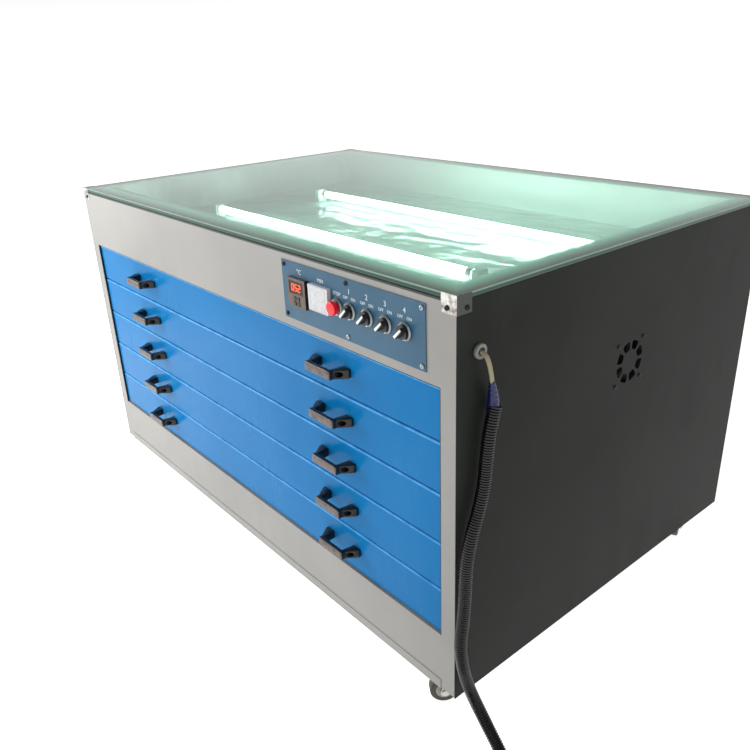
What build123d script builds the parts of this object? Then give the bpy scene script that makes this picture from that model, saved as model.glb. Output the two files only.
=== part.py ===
from build123d import *
import math
import os

# Screen printing dryer: a five-drawer drying cabinet with an exposure light table on top.
# Millimetres. +X is the right-hand side, +Y the back, +Z up. The origin is on the floor,
# under the middle of the cabinet with its drawer handles.

# Cabinet
CABINET_WIDTH = 1250.0
CABINET_DEPTH = 825.0
KICK_HEIGHT = 110.6
DRAWER_COUNT = 5
DRAWER_PITCH = 85.0
FASCIA_HEIGHT = 128.4
CASTOR_HEIGHT = 75.0
SHEET = 1.2
PAN_SHEET = 2.0
POST_SIZE = 30.0
POST_WALL = 1.5
RETURN_DEPTH = 20.0
BAND_HEIGHT = 18.0
BAND_STEP = 1.0
INLET_COUNT = 12
INLET_PITCH = 40.0
INLET_LENGTH = 60.0
INLET_WIDTH = 8.0
INLET_LEVEL = 55.0

# Glass top, rim and corner clips
GLASS_THICKNESS = 8.0
GLASS_ARRIS = 0.8
RIM_WIDTH = 43.0
RIM_SHEET = 1.5
RIM_LIP = 12.0
CLIP_SHEET = 0.8
CLIP_FRONT = 28.0
CLIP_SIDE = 26.5
CLIP_DROP = 18.5
CLIP_FRONT_HOLE = 17.0
CLIP_SIDE_HOLE = 18.0
CLIP_HOLE_DROP = 11.0

# Light box
TRAY_DEPTH = 82.5
TRAY_SHEET = 1.0
TRAY_FRONT_SETBACK = 60.0
TRAY_FLANGE = 10.0
LAMP_RADIUS = 8.0
LAMP_LENGTH = 849.0
LAMP_RISE = 20.0
FRONT_LAMP_DEPTH = 253.0
BACK_LAMP_DEPTH = 537.0
BACK_LAMP_SHIFT = 36.0
HOLDER_THICKNESS = 14.0
HOLDER_WIDTH = 24.0
HOLDER_HEAD = 10.0
LAMP_PIN_RADIUS = 1.2
LAMP_PIN_LENGTH = 7.0
LAMP_PIN_SPREAD = 5.0

# Screws, all of one size
SCREW_RADIUS = 2.0
SCREW_LENGTH = 9.0
SCREW_HEAD_RADIUS = 3.8
SCREW_HEAD_HEIGHT = 2.2
SCREW_DOME_FOOT = 1.0
SCREW_CLEARANCE = 0.3

# Control plate and what is mounted on it
PLATE_WIDTH = 338.0
PLATE_HEIGHT = 98.0
PLATE_THICKNESS = 1.5
PLATE_INSET = 225.0
PLATE_RISE = 65.4
PLATE_SCREW_PITCH_X = 162.0
PLATE_SCREW_PITCH_Z = 84.0
CUTOUT_CLEARANCE = 0.3
DEVICE_DEPTH = 48.0
CONTROL_ROW_DROP = 0.2
CONTROLLER_SHIFT = -120.5
CONTROLLER_LIFT = 2.0
CONTROLLER_SIDE = 48.0
CONTROLLER_BODY = 44.5
CONTROLLER_REACH = 8.0
DISPLAY_WIDTH = 38.0
DISPLAY_HEIGHT = 21.0
DISPLAY_DEPTH = 1.0
DISPLAY_RISE = 9.0
KEY_SIDE = 6.5
KEY_PITCH_X = 10.0
KEY_PITCH_Z = 8.5
KEY_DROP = 13.5
KEY_THICKNESS = 2.4
KEY_REACH = 1.0
KEY_CLEARANCE = 0.3
KEY_POCKET = 2.6
TIMER_SHIFT = -64.0
TIMER_LIFT = 4.0
TIMER_WIDTH = 50.0
TIMER_HEIGHT = 42.0
TIMER_INSET = 3.0
TIMER_REACH = 7.0
STOP_SHIFT = -24.0
STOP_CAP_RADIUS = 10.8
STOP_CAP_HEIGHT = 6.5
STOP_TRAVEL = 3.0
SELECTOR_COUNT = 4
SELECTOR_SHIFT = 6.5
SELECTOR_PITCH = 40.4
COLLAR_RADIUS = 14.2
COLLAR_REACH = 4.0
BARREL_RADIUS = 11.0
NUT_RADIUS = 13.5
NUT_THICKNESS = 5.0
STEM_BORE_RADIUS = 8.0
STEM_CLEARANCE = 0.08
STEM_LENGTH = 16.0
CONTACT_BLOCK_SIDE = 26.0
KNOB_DISC_RADIUS = 10.5
KNOB_DISC_HEIGHT = 3.0
LEVER_LENGTH = 23.0
LEVER_WIDTH = 8.0
LEVER_HEIGHT = 7.0
LEVER_ANGLE = 45.0
LEVER_TAPER = 6.0

# Drawers
FRONT_SETBACK = 4.0
FRONT_PAN_DEPTH = 18.0
FRONT_BEND = 1.8
DRAWER_GAP = 3.0
SIDE_GAP = 1.8
TRAY_RUN = 755.0
RAIL_HEIGHT = 40.0
RAIL_SHEET = 1.5
RAIL_SHELF = 22.0
RAIL_RISE = 12.0
CROSS_BAR_COUNT = 5
CROSS_BAR_WIDTH = 18.0
CROSS_BAR_HEIGHT = 8.0
RUNNER_HEIGHT = 24.0
RUNNER_DEPTH = 12.0
RUNNER_WALL = 1.5
SLIDE_CLEARANCE = 0.3
RAIL_CLEARANCE = 0.8
RUNNER_RISE = 20.0

# Bridge handles
HANDLE_X = 347.0
HANDLE_RISE = 2.0
HANDLE_SPAN = 95.0
HANDLE_BAR = 66.0
HANDLE_REACH = 32.0
HANDLE_THICKNESS = 8.0
HANDLE_BAR_HEIGHT = 15.5
FOOT_LENGTH = 20.0
FOOT_THICKNESS = 5.0
HANDLE_EDGE = 1.5
HANDLE_SCREW_RADIUS = 4.2
HANDLE_SCREW_DEPTH = 2.5

# Fan behind the right side panel
FAN_DEPTH_PLACE = 411.6
FAN_DROP = 202.4
FAN_SIDE = 80.0
FAN_THICKNESS = 25.0
FAN_CORNER = 4.0
FAN_BORE_RADIUS = 38.0
FAN_SCREW_PITCH = 71.5
FAN_STRUT = 4.0
FAN_STRUT_COUNT = 3
HUB_RADIUS = 16.5
HUB_LENGTH = 17.0
BLADE_COUNT = 7
BLADE_TIP_GAP = 1.2
BLADE_CHORD = 17.0
BLADE_THICKNESS = 1.4
BLADE_PITCH = 38.0
FAN_SHAFT_RADIUS = 1.5
FAN_SHAFT_CLEARANCE = 0.05
FAN_RUNNING_GAP = 1.0
GRILLE_HOLES = 8
GRILLE_INNER_RADIUS = 22.5
GRILLE_OUTER_RADIUS = 38.5
GRILLE_HOLE_ANGLE = 33.0
GRILLE_HOLE_CORNER = 4.0

# Heating elements behind the kick panel
HEATER_COUNT = 2
HEATER_RADIUS = 6.0
HEATER_RUN = 900.0
HEATER_BEND_RADIUS = 45.0
HEATER_SPACING = 260.0
HEATER_RISE = 45.0
BRACKET_THICKNESS = 3.0
BRACKET_MARGIN = 12.0

# Castors
CASTOR_INSET = 55.0
WHEEL_RADIUS = 25.0
WHEEL_WIDTH = 20.0
WHEEL_TREAD_BEND = 3.0
HUB_BOSS = 1.5
HUB_BOSS_RADIUS = 7.0
AXLE_RADIUS = 3.0
AXLE_CLEARANCE = 0.08
AXLE_HEAD_RADIUS = 5.5
AXLE_HEAD = 2.5
CASTOR_TRAIL = 18.0
CASTOR_HEADINGS = (160.0, -35.0, 150.0, 20.0)
FORK_SHEET = 2.5
FORK_SIDE_GAP = 1.0
FORK_CROWN_RADIUS = 20.0
FORK_CROWN_HEIGHT = 6.0
FORK_CROWN_GAP = 4.0
CASTOR_PLATE_SIDE = 52.0
CASTOR_PLATE_THICKNESS = 3.0
KINGPIN_RADIUS = 5.0
KINGPIN_HEAD_RADIUS = 8.0
KINGPIN_HEAD = 2.0
KINGPIN_CLEARANCE = 0.08
SWIVEL_GAP = 0.3

# Cable gland, cable and conduit
GLAND_DEPTH_PLACE = 42.6
GLAND_DROP = 77.0
GLAND_FLANGE_RADIUS = 11.0
GLAND_FLANGE = 4.5
GLAND_BARREL_RADIUS = 8.5
GLAND_BARREL_CLEARANCE = 0.2
GLAND_NUT_RADIUS = 11.0
GLAND_NUT = 5.0
GLAND_EDGE = 1.5
CABLE_RADIUS = 3.75
CABLE_CLEARANCE = 0.35
CABLE_START = 5.0
CONDUIT_RADIUS = 10.0
CONDUIT_VALLEY_RADIUS = 8.7
CONDUIT_BORE_RADIUS = 7.5
CONDUIT_RIBS = 200
COIL_RADIUS = 140.0
COIL_STEP = 20.8
COIL_HALF_TURNS = 5
COIL_TAIL_RADIUS = 55.0
PLUG_BOOT_LENGTH = 12.0
PLUG_LENGTH = 36.0
PLUG_WIDTH = 34.0
PLUG_HEIGHT = 24.0
PLUG_PIN_LENGTH = 16.0
PLUG_PIN_WIDTH = 6.3
PLUG_PIN_THICKNESS = 1.6
PLUG_PIN_SPREAD = 18.0
PLUG_PIN_RISE = 5.0
PLUG_BOOT_RADIUS = 7.5
PLUG_CORNER = 5.0

# Places that follow from the sizes
HANDLE_PROUD = HANDLE_REACH - FRONT_SETBACK
front = -(CABINET_DEPTH + HANDLE_PROUD) / 2 + HANDLE_PROUD
back = front + CABINET_DEPTH
base = CASTOR_HEIGHT
bay_bottom = base + KICK_HEIGHT
bay_top = bay_bottom + DRAWER_COUNT * DRAWER_PITCH
top = bay_top + FASCIA_HEIGHT
half_width = CABINET_WIDTH / 2
inner_half_width = half_width - SHEET
opening_half_width = inner_half_width - POST_SIZE
rear_inner = back - SHEET


def facing_front(y):
    """A plane across the cabinet at this depth, X to the right and Z up, facing the front."""
    return Plane.XZ.offset(-y)


def facing_right(x):
    """A plane along the cabinet at this X, Y to the back and Z up, facing right."""
    return Plane.YZ.offset(x)


def level(z):
    return Plane.XY.offset(z)


def at_front(x, z, y=front):
    """A place whose local Z points out of the cabinet's front."""
    return Location((x, y, z), (90, 0, 0))


def at_side(side, y, z):
    """A place on a side panel's outer face, local Z pointing outwards; side is 1 on the right."""
    return Location((side * half_width, y, z), (0, side * 90, 0))


os.makedirs("parts", exist_ok=True)

# Where the screws go
clip_hole_level = top - CLIP_HOLE_DROP
clip_corners = [(side, end) for side in (-1, 1) for end in (-1, 1)]


def end_face(end):
    """Y of the front face for end -1 and of the back face for end 1."""
    return front if end < 0 else back


clip_front_screws = [
    Location((side * (half_width - CLIP_FRONT_HOLE), end_face(end) + end * CLIP_SHEET,
              clip_hole_level), (-end * 90, 0, 0))
    for side, end in clip_corners
]
clip_side_screws = [
    Location((side * (half_width + CLIP_SHEET), end_face(end) - end * CLIP_SIDE_HOLE,
              clip_hole_level), (0, side * 90, 0))
    for side, end in clip_corners
]
clip_screws = clip_front_screws + clip_side_screws
plate_x = half_width - PLATE_INSET
plate_level = bay_top + PLATE_RISE
plate_screws = [
    at_front(plate_x + column * PLATE_SCREW_PITCH_X,
             plate_level + row * PLATE_SCREW_PITCH_Z / 2, front - PLATE_THICKNESS)
    for column in (-1, 0, 1) for row in (-1, 1)
]
fan_y = front + FAN_DEPTH_PLACE
fan_level = top - FAN_DROP
fan_screws = [
    at_side(1, fan_y + column * FAN_SCREW_PITCH / 2, fan_level + row * FAN_SCREW_PITCH / 2)
    for column in (-1, 1) for row in (-1, 1)
]
screw_hole_radius = SCREW_RADIUS + SCREW_CLEARANCE
hole_depth = 2 * SCREW_LENGTH

# Corner posts, square tube, standing on the bottom pan under the rim
post_foot = base + PAN_SHEET
post_head = top - RIM_SHEET
post_x = inner_half_width - POST_SIZE / 2
front_post_y = front + POST_SIZE / 2
rear_post_y = rear_inner - POST_SIZE / 2
with BuildPart() as corner_posts:
    with BuildSketch(level(post_foot)):
        with Locations((-post_x, front_post_y), (post_x, front_post_y),
                       (-post_x, rear_post_y), (post_x, rear_post_y)):
            Rectangle(POST_SIZE, POST_SIZE)
            Rectangle(POST_SIZE - 2 * POST_WALL, POST_SIZE - 2 * POST_WALL,
                      mode=Mode.SUBTRACT)
    extrude(amount=post_head - post_foot)
    with Locations(*clip_screws):
        Cylinder(screw_hole_radius, hole_depth, mode=Mode.SUBTRACT)
corner_posts.part.label = "corner_posts"
export_step(corner_posts.part, "parts/corner_posts.step")

# Bottom pan
with BuildPart() as bottom_pan:
    with BuildSketch(level(base)):
        with Locations((0, (front + SHEET + rear_inner) / 2)):
            Rectangle(2 * inner_half_width, rear_inner - front - SHEET)
    extrude(amount=PAN_SHEET)
bottom_pan.part.label = "bottom_pan"
export_step(bottom_pan.part, "parts/bottom_pan.step")

# Side panels; the right one has the fan's grille and the hole for the gland
gland_y = front + GLAND_DEPTH_PLACE
gland_level = top - GLAND_DROP
panel_height = top - base
panel_centre = (front + CABINET_DEPTH / 2, base + panel_height / 2)
with BuildPart() as left_side_panel:
    with BuildSketch(facing_right(-half_width)):
        with Locations(panel_centre):
            Rectangle(CABINET_DEPTH, panel_height)
    extrude(amount=SHEET)
    with Locations(*clip_side_screws):
        Cylinder(screw_hole_radius, hole_depth, mode=Mode.SUBTRACT)
left_side_panel.part.label = "left_side_panel"
export_step(left_side_panel.part, "parts/left_side_panel.step")

with BuildPart() as right_side_panel:
    with BuildSketch(facing_right(inner_half_width)):
        with Locations(panel_centre):
            Rectangle(CABINET_DEPTH, panel_height)
        with Locations((gland_y, gland_level)):
            Circle(GLAND_BARREL_RADIUS + GLAND_BARREL_CLEARANCE, mode=Mode.SUBTRACT)
        with Locations((fan_y, fan_level)):
            with PolarLocations(0, GRILLE_HOLES, start_angle=360 / GRILLE_HOLES / 2):
                with BuildSketch(mode=Mode.PRIVATE) as grille_hole:
                    with BuildLine():
                        half = math.radians(GRILLE_HOLE_ANGLE / 2)
                        Polyline(
                            (GRILLE_INNER_RADIUS * math.cos(half),
                             -GRILLE_INNER_RADIUS * math.sin(half)),
                            (GRILLE_OUTER_RADIUS * math.cos(half),
                             -GRILLE_OUTER_RADIUS * math.sin(half)),
                            (GRILLE_OUTER_RADIUS * math.cos(half),
                             GRILLE_OUTER_RADIUS * math.sin(half)),
                            (GRILLE_INNER_RADIUS * math.cos(half),
                             GRILLE_INNER_RADIUS * math.sin(half)),
                            close=True)
                    make_face()
                    fillet(grille_hole.vertices(), GRILLE_HOLE_CORNER)
                add(grille_hole.sketch, mode=Mode.SUBTRACT)
    extrude(amount=SHEET)
    with Locations(*clip_side_screws, *fan_screws):
        Cylinder(screw_hole_radius, hole_depth, mode=Mode.SUBTRACT)
right_side_panel.part.label = "right_side_panel"
export_step(right_side_panel.part, "parts/right_side_panel.step")

# Back panel with a row of air inlets low down
with BuildPart() as back_panel:
    with BuildSketch(facing_front(rear_inner)):
        with Locations((0, base + panel_height / 2)):
            Rectangle(2 * inner_half_width, panel_height)
        with Locations((0, base + INLET_LEVEL)):
            with GridLocations(INLET_PITCH, 0, INLET_COUNT, 1):
                SlotOverall(INLET_LENGTH, INLET_WIDTH, rotation=90, mode=Mode.SUBTRACT)
    extrude(amount=-SHEET)
    with Locations(*clip_front_screws):
        Cylinder(screw_hole_radius, hole_depth, mode=Mode.SUBTRACT)
back_panel.part.label = "back_panel"
export_step(back_panel.part, "parts/back_panel.step")

# Kick panel between the front posts, with a band along its foot and a folded top edge
with BuildPart() as kick_panel:
    with BuildSketch(facing_right(-opening_half_width)):
        with BuildLine():
            Polyline(
                (front - BAND_STEP, base), (front + SHEET, base),
                (front + SHEET, bay_bottom - SHEET),
                (front + RETURN_DEPTH, bay_bottom - SHEET),
                (front + RETURN_DEPTH, bay_bottom), (front, bay_bottom),
                (front, base + BAND_HEIGHT), (front - BAND_STEP, base + BAND_HEIGHT),
                close=True)
        make_face()
    extrude(amount=2 * opening_half_width)
kick_panel.part.label = "kick_panel"
export_step(kick_panel.part, "parts/kick_panel.step")

# Places of the control devices on the plate, and their openings
controller_x = plate_x + CONTROLLER_SHIFT
timer_x = plate_x + TIMER_SHIFT
stop_x = plate_x + STOP_SHIFT
selector_xs = [plate_x + SELECTOR_SHIFT + i * SELECTOR_PITCH for i in range(SELECTOR_COUNT)]
controller_level = plate_level + CONTROLLER_LIFT
timer_level = plate_level + TIMER_LIFT
control_level = plate_level - CONTROL_ROW_DROP
round_cutouts = [(x, control_level) for x in [stop_x, *selector_xs]]
timer_body_width = TIMER_WIDTH - 2 * TIMER_INSET
timer_body_height = TIMER_HEIGHT - 2 * TIMER_INSET


def cut_device_holes(clearance):
    """Cuts the openings for the devices into the sketch that is being drawn."""
    with Locations((controller_x, controller_level)):
        Rectangle(CONTROLLER_BODY + 2 * clearance, CONTROLLER_BODY + 2 * clearance,
                  mode=Mode.SUBTRACT)
    with Locations((timer_x, timer_level)):
        Rectangle(timer_body_width + 2 * clearance, timer_body_height + 2 * clearance,
                  mode=Mode.SUBTRACT)
    with Locations(*round_cutouts):
        Circle(BARREL_RADIUS + clearance, mode=Mode.SUBTRACT)


# Fascia above the drawers
with BuildPart() as upper_fascia:
    with BuildSketch(facing_front(front + SHEET)):
        with Locations((0, (bay_top + post_head) / 2)):
            Rectangle(2 * opening_half_width, post_head - bay_top)
        cut_device_holes(CUTOUT_CLEARANCE)
    extrude(amount=SHEET)
    with BuildSketch(level(bay_top)):
        with Locations((0, front + SHEET + RETURN_DEPTH / 2)):
            Rectangle(2 * opening_half_width, RETURN_DEPTH)
    extrude(amount=SHEET)
    with Locations(*plate_screws):
        Cylinder(screw_hole_radius, hole_depth, mode=Mode.SUBTRACT)
upper_fascia.part.label = "upper_fascia"
export_step(upper_fascia.part, "parts/upper_fascia.step")

# Rim under the glass: four mitred lengths of angle
rim_front = front
rim_back = rear_inner
rim_inner = half_width - RIM_WIDTH
rim_front_inner = front + RIM_WIDTH
rim_back_inner = back - RIM_WIDTH
rim_corners = [(-inner_half_width, rim_front), (inner_half_width, rim_front),
               (inner_half_width, rim_back), (-inner_half_width, rim_back)]
rim_inner_corners = [(-rim_inner, rim_front_inner), (rim_inner, rim_front_inner),
                     (rim_inner, rim_back_inner), (-rim_inner, rim_back_inner)]
rim_underside = top - RIM_SHEET
lip_span_y = (rear_post_y - front_post_y) - POST_SIZE
lip_places = [
    (0, front + SHEET + RIM_SHEET / 2, 2 * opening_half_width, RIM_SHEET),
    (inner_half_width - RIM_SHEET / 2, (front_post_y + rear_post_y) / 2,
     RIM_SHEET, lip_span_y),
    (0, rear_inner - RIM_SHEET / 2, 2 * opening_half_width, RIM_SHEET),
    (-inner_half_width + RIM_SHEET / 2, (front_post_y + rear_post_y) / 2,
     RIM_SHEET, lip_span_y),
]
rim_lengths = []
for i, (lip_x, lip_y, lip_width, lip_depth) in enumerate(lip_places):
    following = (i + 1) % 4
    with BuildPart() as rim_length:
        with BuildSketch(level(rim_underside)):
            with BuildLine():
                Polyline(rim_corners[i], rim_corners[following],
                         rim_inner_corners[following], rim_inner_corners[i], close=True)
            make_face()
        extrude(amount=RIM_SHEET)
        with BuildSketch(level(rim_underside)):
            with Locations((lip_x, lip_y)):
                Rectangle(lip_width, lip_depth)
        extrude(amount=-RIM_LIP)
    rim_lengths.append(rim_length.part.solid())
top_rim = Compound(children=rim_lengths, label="top_rim")
export_step(top_rim, "parts/top_rim.step")

# Light box tray under the rim, open at the top
tray_top = rim_underside
tray_floor = tray_top - TRAY_DEPTH
tray_front = front + TRAY_FRONT_SETBACK
tray_back = rim_back_inner
tray_mid_y = (tray_front + tray_back) / 2
tray_length = 2 * rim_inner
tray_span = tray_back - tray_front
flange_front = rim_front_inner - TRAY_FLANGE
flange_back = tray_back + TRAY_FLANGE
with BuildPart() as light_box_tray:
    with BuildSketch(level(tray_floor - TRAY_SHEET)):
        with Locations((0, tray_mid_y)):
            Rectangle(tray_length + 2 * TRAY_SHEET, tray_span + 2 * TRAY_SHEET)
    extrude(amount=TRAY_DEPTH + TRAY_SHEET)
    with BuildSketch(level(tray_top - TRAY_SHEET)):
        with Locations((0, (flange_front + flange_back) / 2)):
            Rectangle(tray_length + 2 * TRAY_FLANGE, flange_back - flange_front)
    extrude(amount=TRAY_SHEET)
    with BuildSketch(level(tray_floor)):
        with Locations((0, tray_mid_y)):
            Rectangle(tray_length, tray_span)
    extrude(amount=TRAY_DEPTH, mode=Mode.SUBTRACT)
light_box_tray.part.label = "light_box_tray"
export_step(light_box_tray.part, "parts/light_box_tray.step")

# Lamps and their holders
lamp_level = tray_floor + LAMP_RISE
lamp_centres = [(0, front + FRONT_LAMP_DEPTH), (BACK_LAMP_SHIFT, front + BACK_LAMP_DEPTH)]
with BuildPart() as lamp_tubes:
    for lamp_x, lamp_y in lamp_centres:
        with BuildSketch(facing_right(lamp_x - LAMP_LENGTH / 2)):
            with Locations((lamp_y, lamp_level)):
                Circle(LAMP_RADIUS)
        extrude(amount=LAMP_LENGTH)
        for end in (-1, 1):
            with BuildSketch(facing_right(lamp_x + end * LAMP_LENGTH / 2)):
                with Locations((lamp_y, lamp_level)):
                    with GridLocations(0, LAMP_PIN_SPREAD, 1, 2):
                        Circle(LAMP_PIN_RADIUS)
            extrude(amount=end * LAMP_PIN_LENGTH)
lamp_tubes.part.label = "lamp_tubes"
export_step(lamp_tubes.part, "parts/lamp_tubes.step")

holder_height = LAMP_RISE + HOLDER_HEAD
with BuildPart() as lamp_holders:
    for lamp_x, lamp_y in lamp_centres:
        for end in (-1, 1):
            holder_face = lamp_x + end * LAMP_LENGTH / 2
            with BuildSketch(facing_right(holder_face)):
                with Locations((lamp_y, tray_floor + holder_height / 2)):
                    RectangleRounded(HOLDER_WIDTH, holder_height, HOLDER_HEAD / 4)
                with Locations((lamp_y, lamp_level)):
                    with GridLocations(0, LAMP_PIN_SPREAD, 1, 2):
                        Circle(LAMP_PIN_RADIUS + SCREW_CLEARANCE / 2, mode=Mode.SUBTRACT)
            extrude(amount=end * HOLDER_THICKNESS)
lamp_holders.part.label = "lamp_holders"
export_step(lamp_holders.part, "parts/lamp_holders.step")

# Glass pane, held between the corner clips
with BuildPart() as glass_top:
    with BuildSketch(level(top)):
        with Locations((0, front + CABINET_DEPTH / 2)):
            Rectangle(CABINET_WIDTH, CABINET_DEPTH)
    extrude(amount=GLASS_THICKNESS)
    chamfer(glass_top.edges(), GLASS_ARRIS)
glass_top.part.label = "glass_top"
export_step(glass_top.part, "parts/glass_top.step")

# Corner clips, bent sheet
clip_height = CLIP_DROP + GLASS_THICKNESS + CLIP_SHEET / 2
with BuildPart() as corner_clips:
    for side, end in clip_corners:
        corner_x = side * half_width
        corner_y = end_face(end)
        outer_x = corner_x + side * CLIP_SHEET
        outer_y = corner_y + end * CLIP_SHEET
        with BuildSketch(level(top - CLIP_DROP)):
            with BuildLine():
                Polyline(
                    (outer_x, outer_y),
                    (corner_x - side * CLIP_FRONT, outer_y),
                    (corner_x - side * CLIP_FRONT, corner_y),
                    (corner_x, corner_y),
                    (corner_x, corner_y - end * CLIP_SIDE),
                    (outer_x, corner_y - end * CLIP_SIDE),
                    close=True)
            make_face()
        extrude(amount=clip_height)
    with Locations(*clip_screws):
        Cylinder(screw_hole_radius, hole_depth, mode=Mode.SUBTRACT)
corner_clips.part.label = "corner_clips"
export_step(corner_clips.part, "parts/corner_clips.step")

# Pan-head screws of the clips, the control plate and the fan, with domed heads
dome_rise = SCREW_HEAD_HEIGHT - SCREW_DOME_FOOT
dome_radius = (SCREW_HEAD_RADIUS ** 2 + dome_rise ** 2) / (2 * dome_rise)
dome_angle = math.degrees(math.asin(SCREW_HEAD_RADIUS / dome_radius))
with BuildPart() as pan_head_screw:
    with BuildSketch(Plane.XZ):
        with BuildLine():
            Polyline((0, -SCREW_LENGTH), (SCREW_RADIUS, -SCREW_LENGTH), (SCREW_RADIUS, 0),
                     (SCREW_HEAD_RADIUS, 0), (SCREW_HEAD_RADIUS, SCREW_DOME_FOOT))
            JernArc((0, SCREW_HEAD_HEIGHT), (1, 0), dome_radius, -dome_angle)
            Line((0, SCREW_HEAD_HEIGHT), (0, -SCREW_LENGTH))
        make_face()
    revolve(axis=Axis.Z)
with BuildPart() as pan_head_screws:
    with Locations(*clip_screws, *plate_screws, *fan_screws):
        add(pan_head_screw.part)
pan_head_screws.part.label = "pan_head_screws"
export_step(pan_head_screws.part, "parts/pan_head_screws.step")

# Control plate
with BuildPart() as control_plate:
    with BuildSketch(facing_front(front)):
        with Locations((plate_x, plate_level)):
            Rectangle(PLATE_WIDTH, PLATE_HEIGHT)
        cut_device_holes(0)
    extrude(amount=PLATE_THICKNESS)
    with Locations(*plate_screws):
        Cylinder(screw_hole_radius, hole_depth, mode=Mode.SUBTRACT)
control_plate.part.label = "control_plate"
export_step(control_plate.part, "parts/control_plate.step")

# Temperature controller: bezel with a sunk display and four key pockets, body behind
plate_face = front - PLATE_THICKNESS
controller_face = plate_face - CONTROLLER_REACH
key_centre = (controller_x, controller_level - KEY_DROP)
with BuildPart() as temperature_controller:
    with BuildSketch(facing_front(plate_face)):
        with Locations((controller_x, controller_level)):
            RectangleRounded(CONTROLLER_SIDE, CONTROLLER_SIDE, SHEET)
    extrude(amount=CONTROLLER_REACH)
    with BuildSketch(facing_front(plate_face)):
        with Locations((controller_x, controller_level)):
            Rectangle(CONTROLLER_BODY, CONTROLLER_BODY)
    extrude(amount=-DEVICE_DEPTH)
    with BuildSketch(facing_front(controller_face)):
        with Locations((controller_x, controller_level + DISPLAY_RISE)):
            Rectangle(DISPLAY_WIDTH, DISPLAY_HEIGHT)
    extrude(amount=-DISPLAY_DEPTH, mode=Mode.SUBTRACT)
    with BuildSketch(facing_front(controller_face)):
        with Locations(key_centre):
            with GridLocations(KEY_PITCH_X, KEY_PITCH_Z, 2, 2):
                Rectangle(KEY_SIDE + 2 * KEY_CLEARANCE, KEY_SIDE + 2 * KEY_CLEARANCE)
    extrude(amount=-KEY_POCKET, mode=Mode.SUBTRACT)
temperature_controller.part.label = "temperature_controller"
export_step(temperature_controller.part, "parts/temperature_controller.step")

# The controller's four keys
key_names = ["key_lower_left", "key_upper_left", "key_lower_right", "key_upper_right"]
key_places = [
    (key_centre[0] + column * KEY_PITCH_X / 2, key_centre[1] + row * KEY_PITCH_Z / 2)
    for column in (-1, 1) for row in (-1, 1)
]
for key_name, key_place in zip(key_names, key_places):
    with BuildPart() as controller_key:
        with BuildSketch(facing_front(controller_face - KEY_REACH)):
            with Locations(key_place):
                RectangleRounded(KEY_SIDE, KEY_SIDE, KEY_SIDE / 6)
        extrude(amount=-KEY_THICKNESS)
    controller_key.part.label = key_name
    export_step(controller_key.part, f"parts/{key_name}.step")

# Timer
with BuildPart() as timer:
    with BuildSketch(facing_front(plate_face)):
        with Locations((timer_x, timer_level)):
            RectangleRounded(TIMER_WIDTH, TIMER_HEIGHT, SHEET)
    extrude(amount=TIMER_REACH)
    with BuildSketch(facing_front(plate_face)):
        with Locations((timer_x, timer_level)):
            Rectangle(timer_body_width, timer_body_height)
    extrude(amount=-DEVICE_DEPTH)
timer.part.label = "timer"
export_step(timer.part, "parts/timer.step")

# Collars of the four selectors and of the stop button, each with its barrel, nut and
# contact block
with BuildPart() as switch_collar:
    with BuildSketch(Plane.XZ):
        with BuildLine():
            Polyline(
                (STEM_BORE_RADIUS, front - plate_face + COLLAR_REACH - KNOB_DISC_HEIGHT / 3),
                (COLLAR_RADIUS - COLLAR_REACH / 2, front - plate_face + COLLAR_REACH),
                (COLLAR_RADIUS, front - plate_face + COLLAR_REACH / 2),
                (COLLAR_RADIUS, front - plate_face),
                (BARREL_RADIUS, front - plate_face),
                (BARREL_RADIUS, -SHEET),
                (NUT_RADIUS, -SHEET),
                (NUT_RADIUS, -SHEET - NUT_THICKNESS),
                (STEM_BORE_RADIUS, -SHEET - NUT_THICKNESS),
                close=True)
        make_face()
    revolve(axis=Axis.Z)
    with BuildSketch(Plane.XY.offset(-SHEET - NUT_THICKNESS)):
        Rectangle(CONTACT_BLOCK_SIDE, CONTACT_BLOCK_SIDE)
    extrude(amount=-(DEVICE_DEPTH - SHEET - NUT_THICKNESS))
    with BuildSketch(Plane.XY.offset(-SHEET - NUT_THICKNESS)):
        Circle(STEM_BORE_RADIUS)
    extrude(amount=-STEM_LENGTH, mode=Mode.SUBTRACT)
with BuildPart() as switch_collars:
    with Locations(*[at_front(x, control_level) for x in [stop_x, *selector_xs]]):
        add(switch_collar.part)
switch_collars.part.label = "switch_collars"
export_step(switch_collars.part, "parts/switch_collars.step")

# Selector levers, each turning in its collar, at rest turned to the right
knob_seat = front - plate_face + COLLAR_REACH + SWIVEL_GAP
stem_radius = STEM_BORE_RADIUS - STEM_CLEARANCE
stem_foot = -SHEET - NUT_THICKNESS - STEM_LENGTH + SWIVEL_GAP
with BuildPart() as selector_lever:
    with BuildSketch(Plane.XY.offset(stem_foot)):
        Circle(stem_radius)
    extrude(amount=knob_seat - stem_foot)
    with BuildSketch(Plane.XY.offset(knob_seat)):
        Circle(KNOB_DISC_RADIUS)
    extrude(amount=KNOB_DISC_HEIGHT)
    with BuildSketch(Plane.XY.offset(knob_seat + KNOB_DISC_HEIGHT)):
        SlotOverall(LEVER_LENGTH, LEVER_WIDTH, rotation=LEVER_ANGLE)
    extrude(amount=LEVER_HEIGHT, taper=LEVER_TAPER)
for i, selector_x in enumerate(selector_xs, 1):
    with BuildPart() as selector_knob:
        with Locations(at_front(selector_x, control_level)):
            add(selector_lever.part)
    selector_knob.part.label = f"selector_knob_{i}"
    export_step(selector_knob.part, f"parts/selector_knob_{i}.step")

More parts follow.
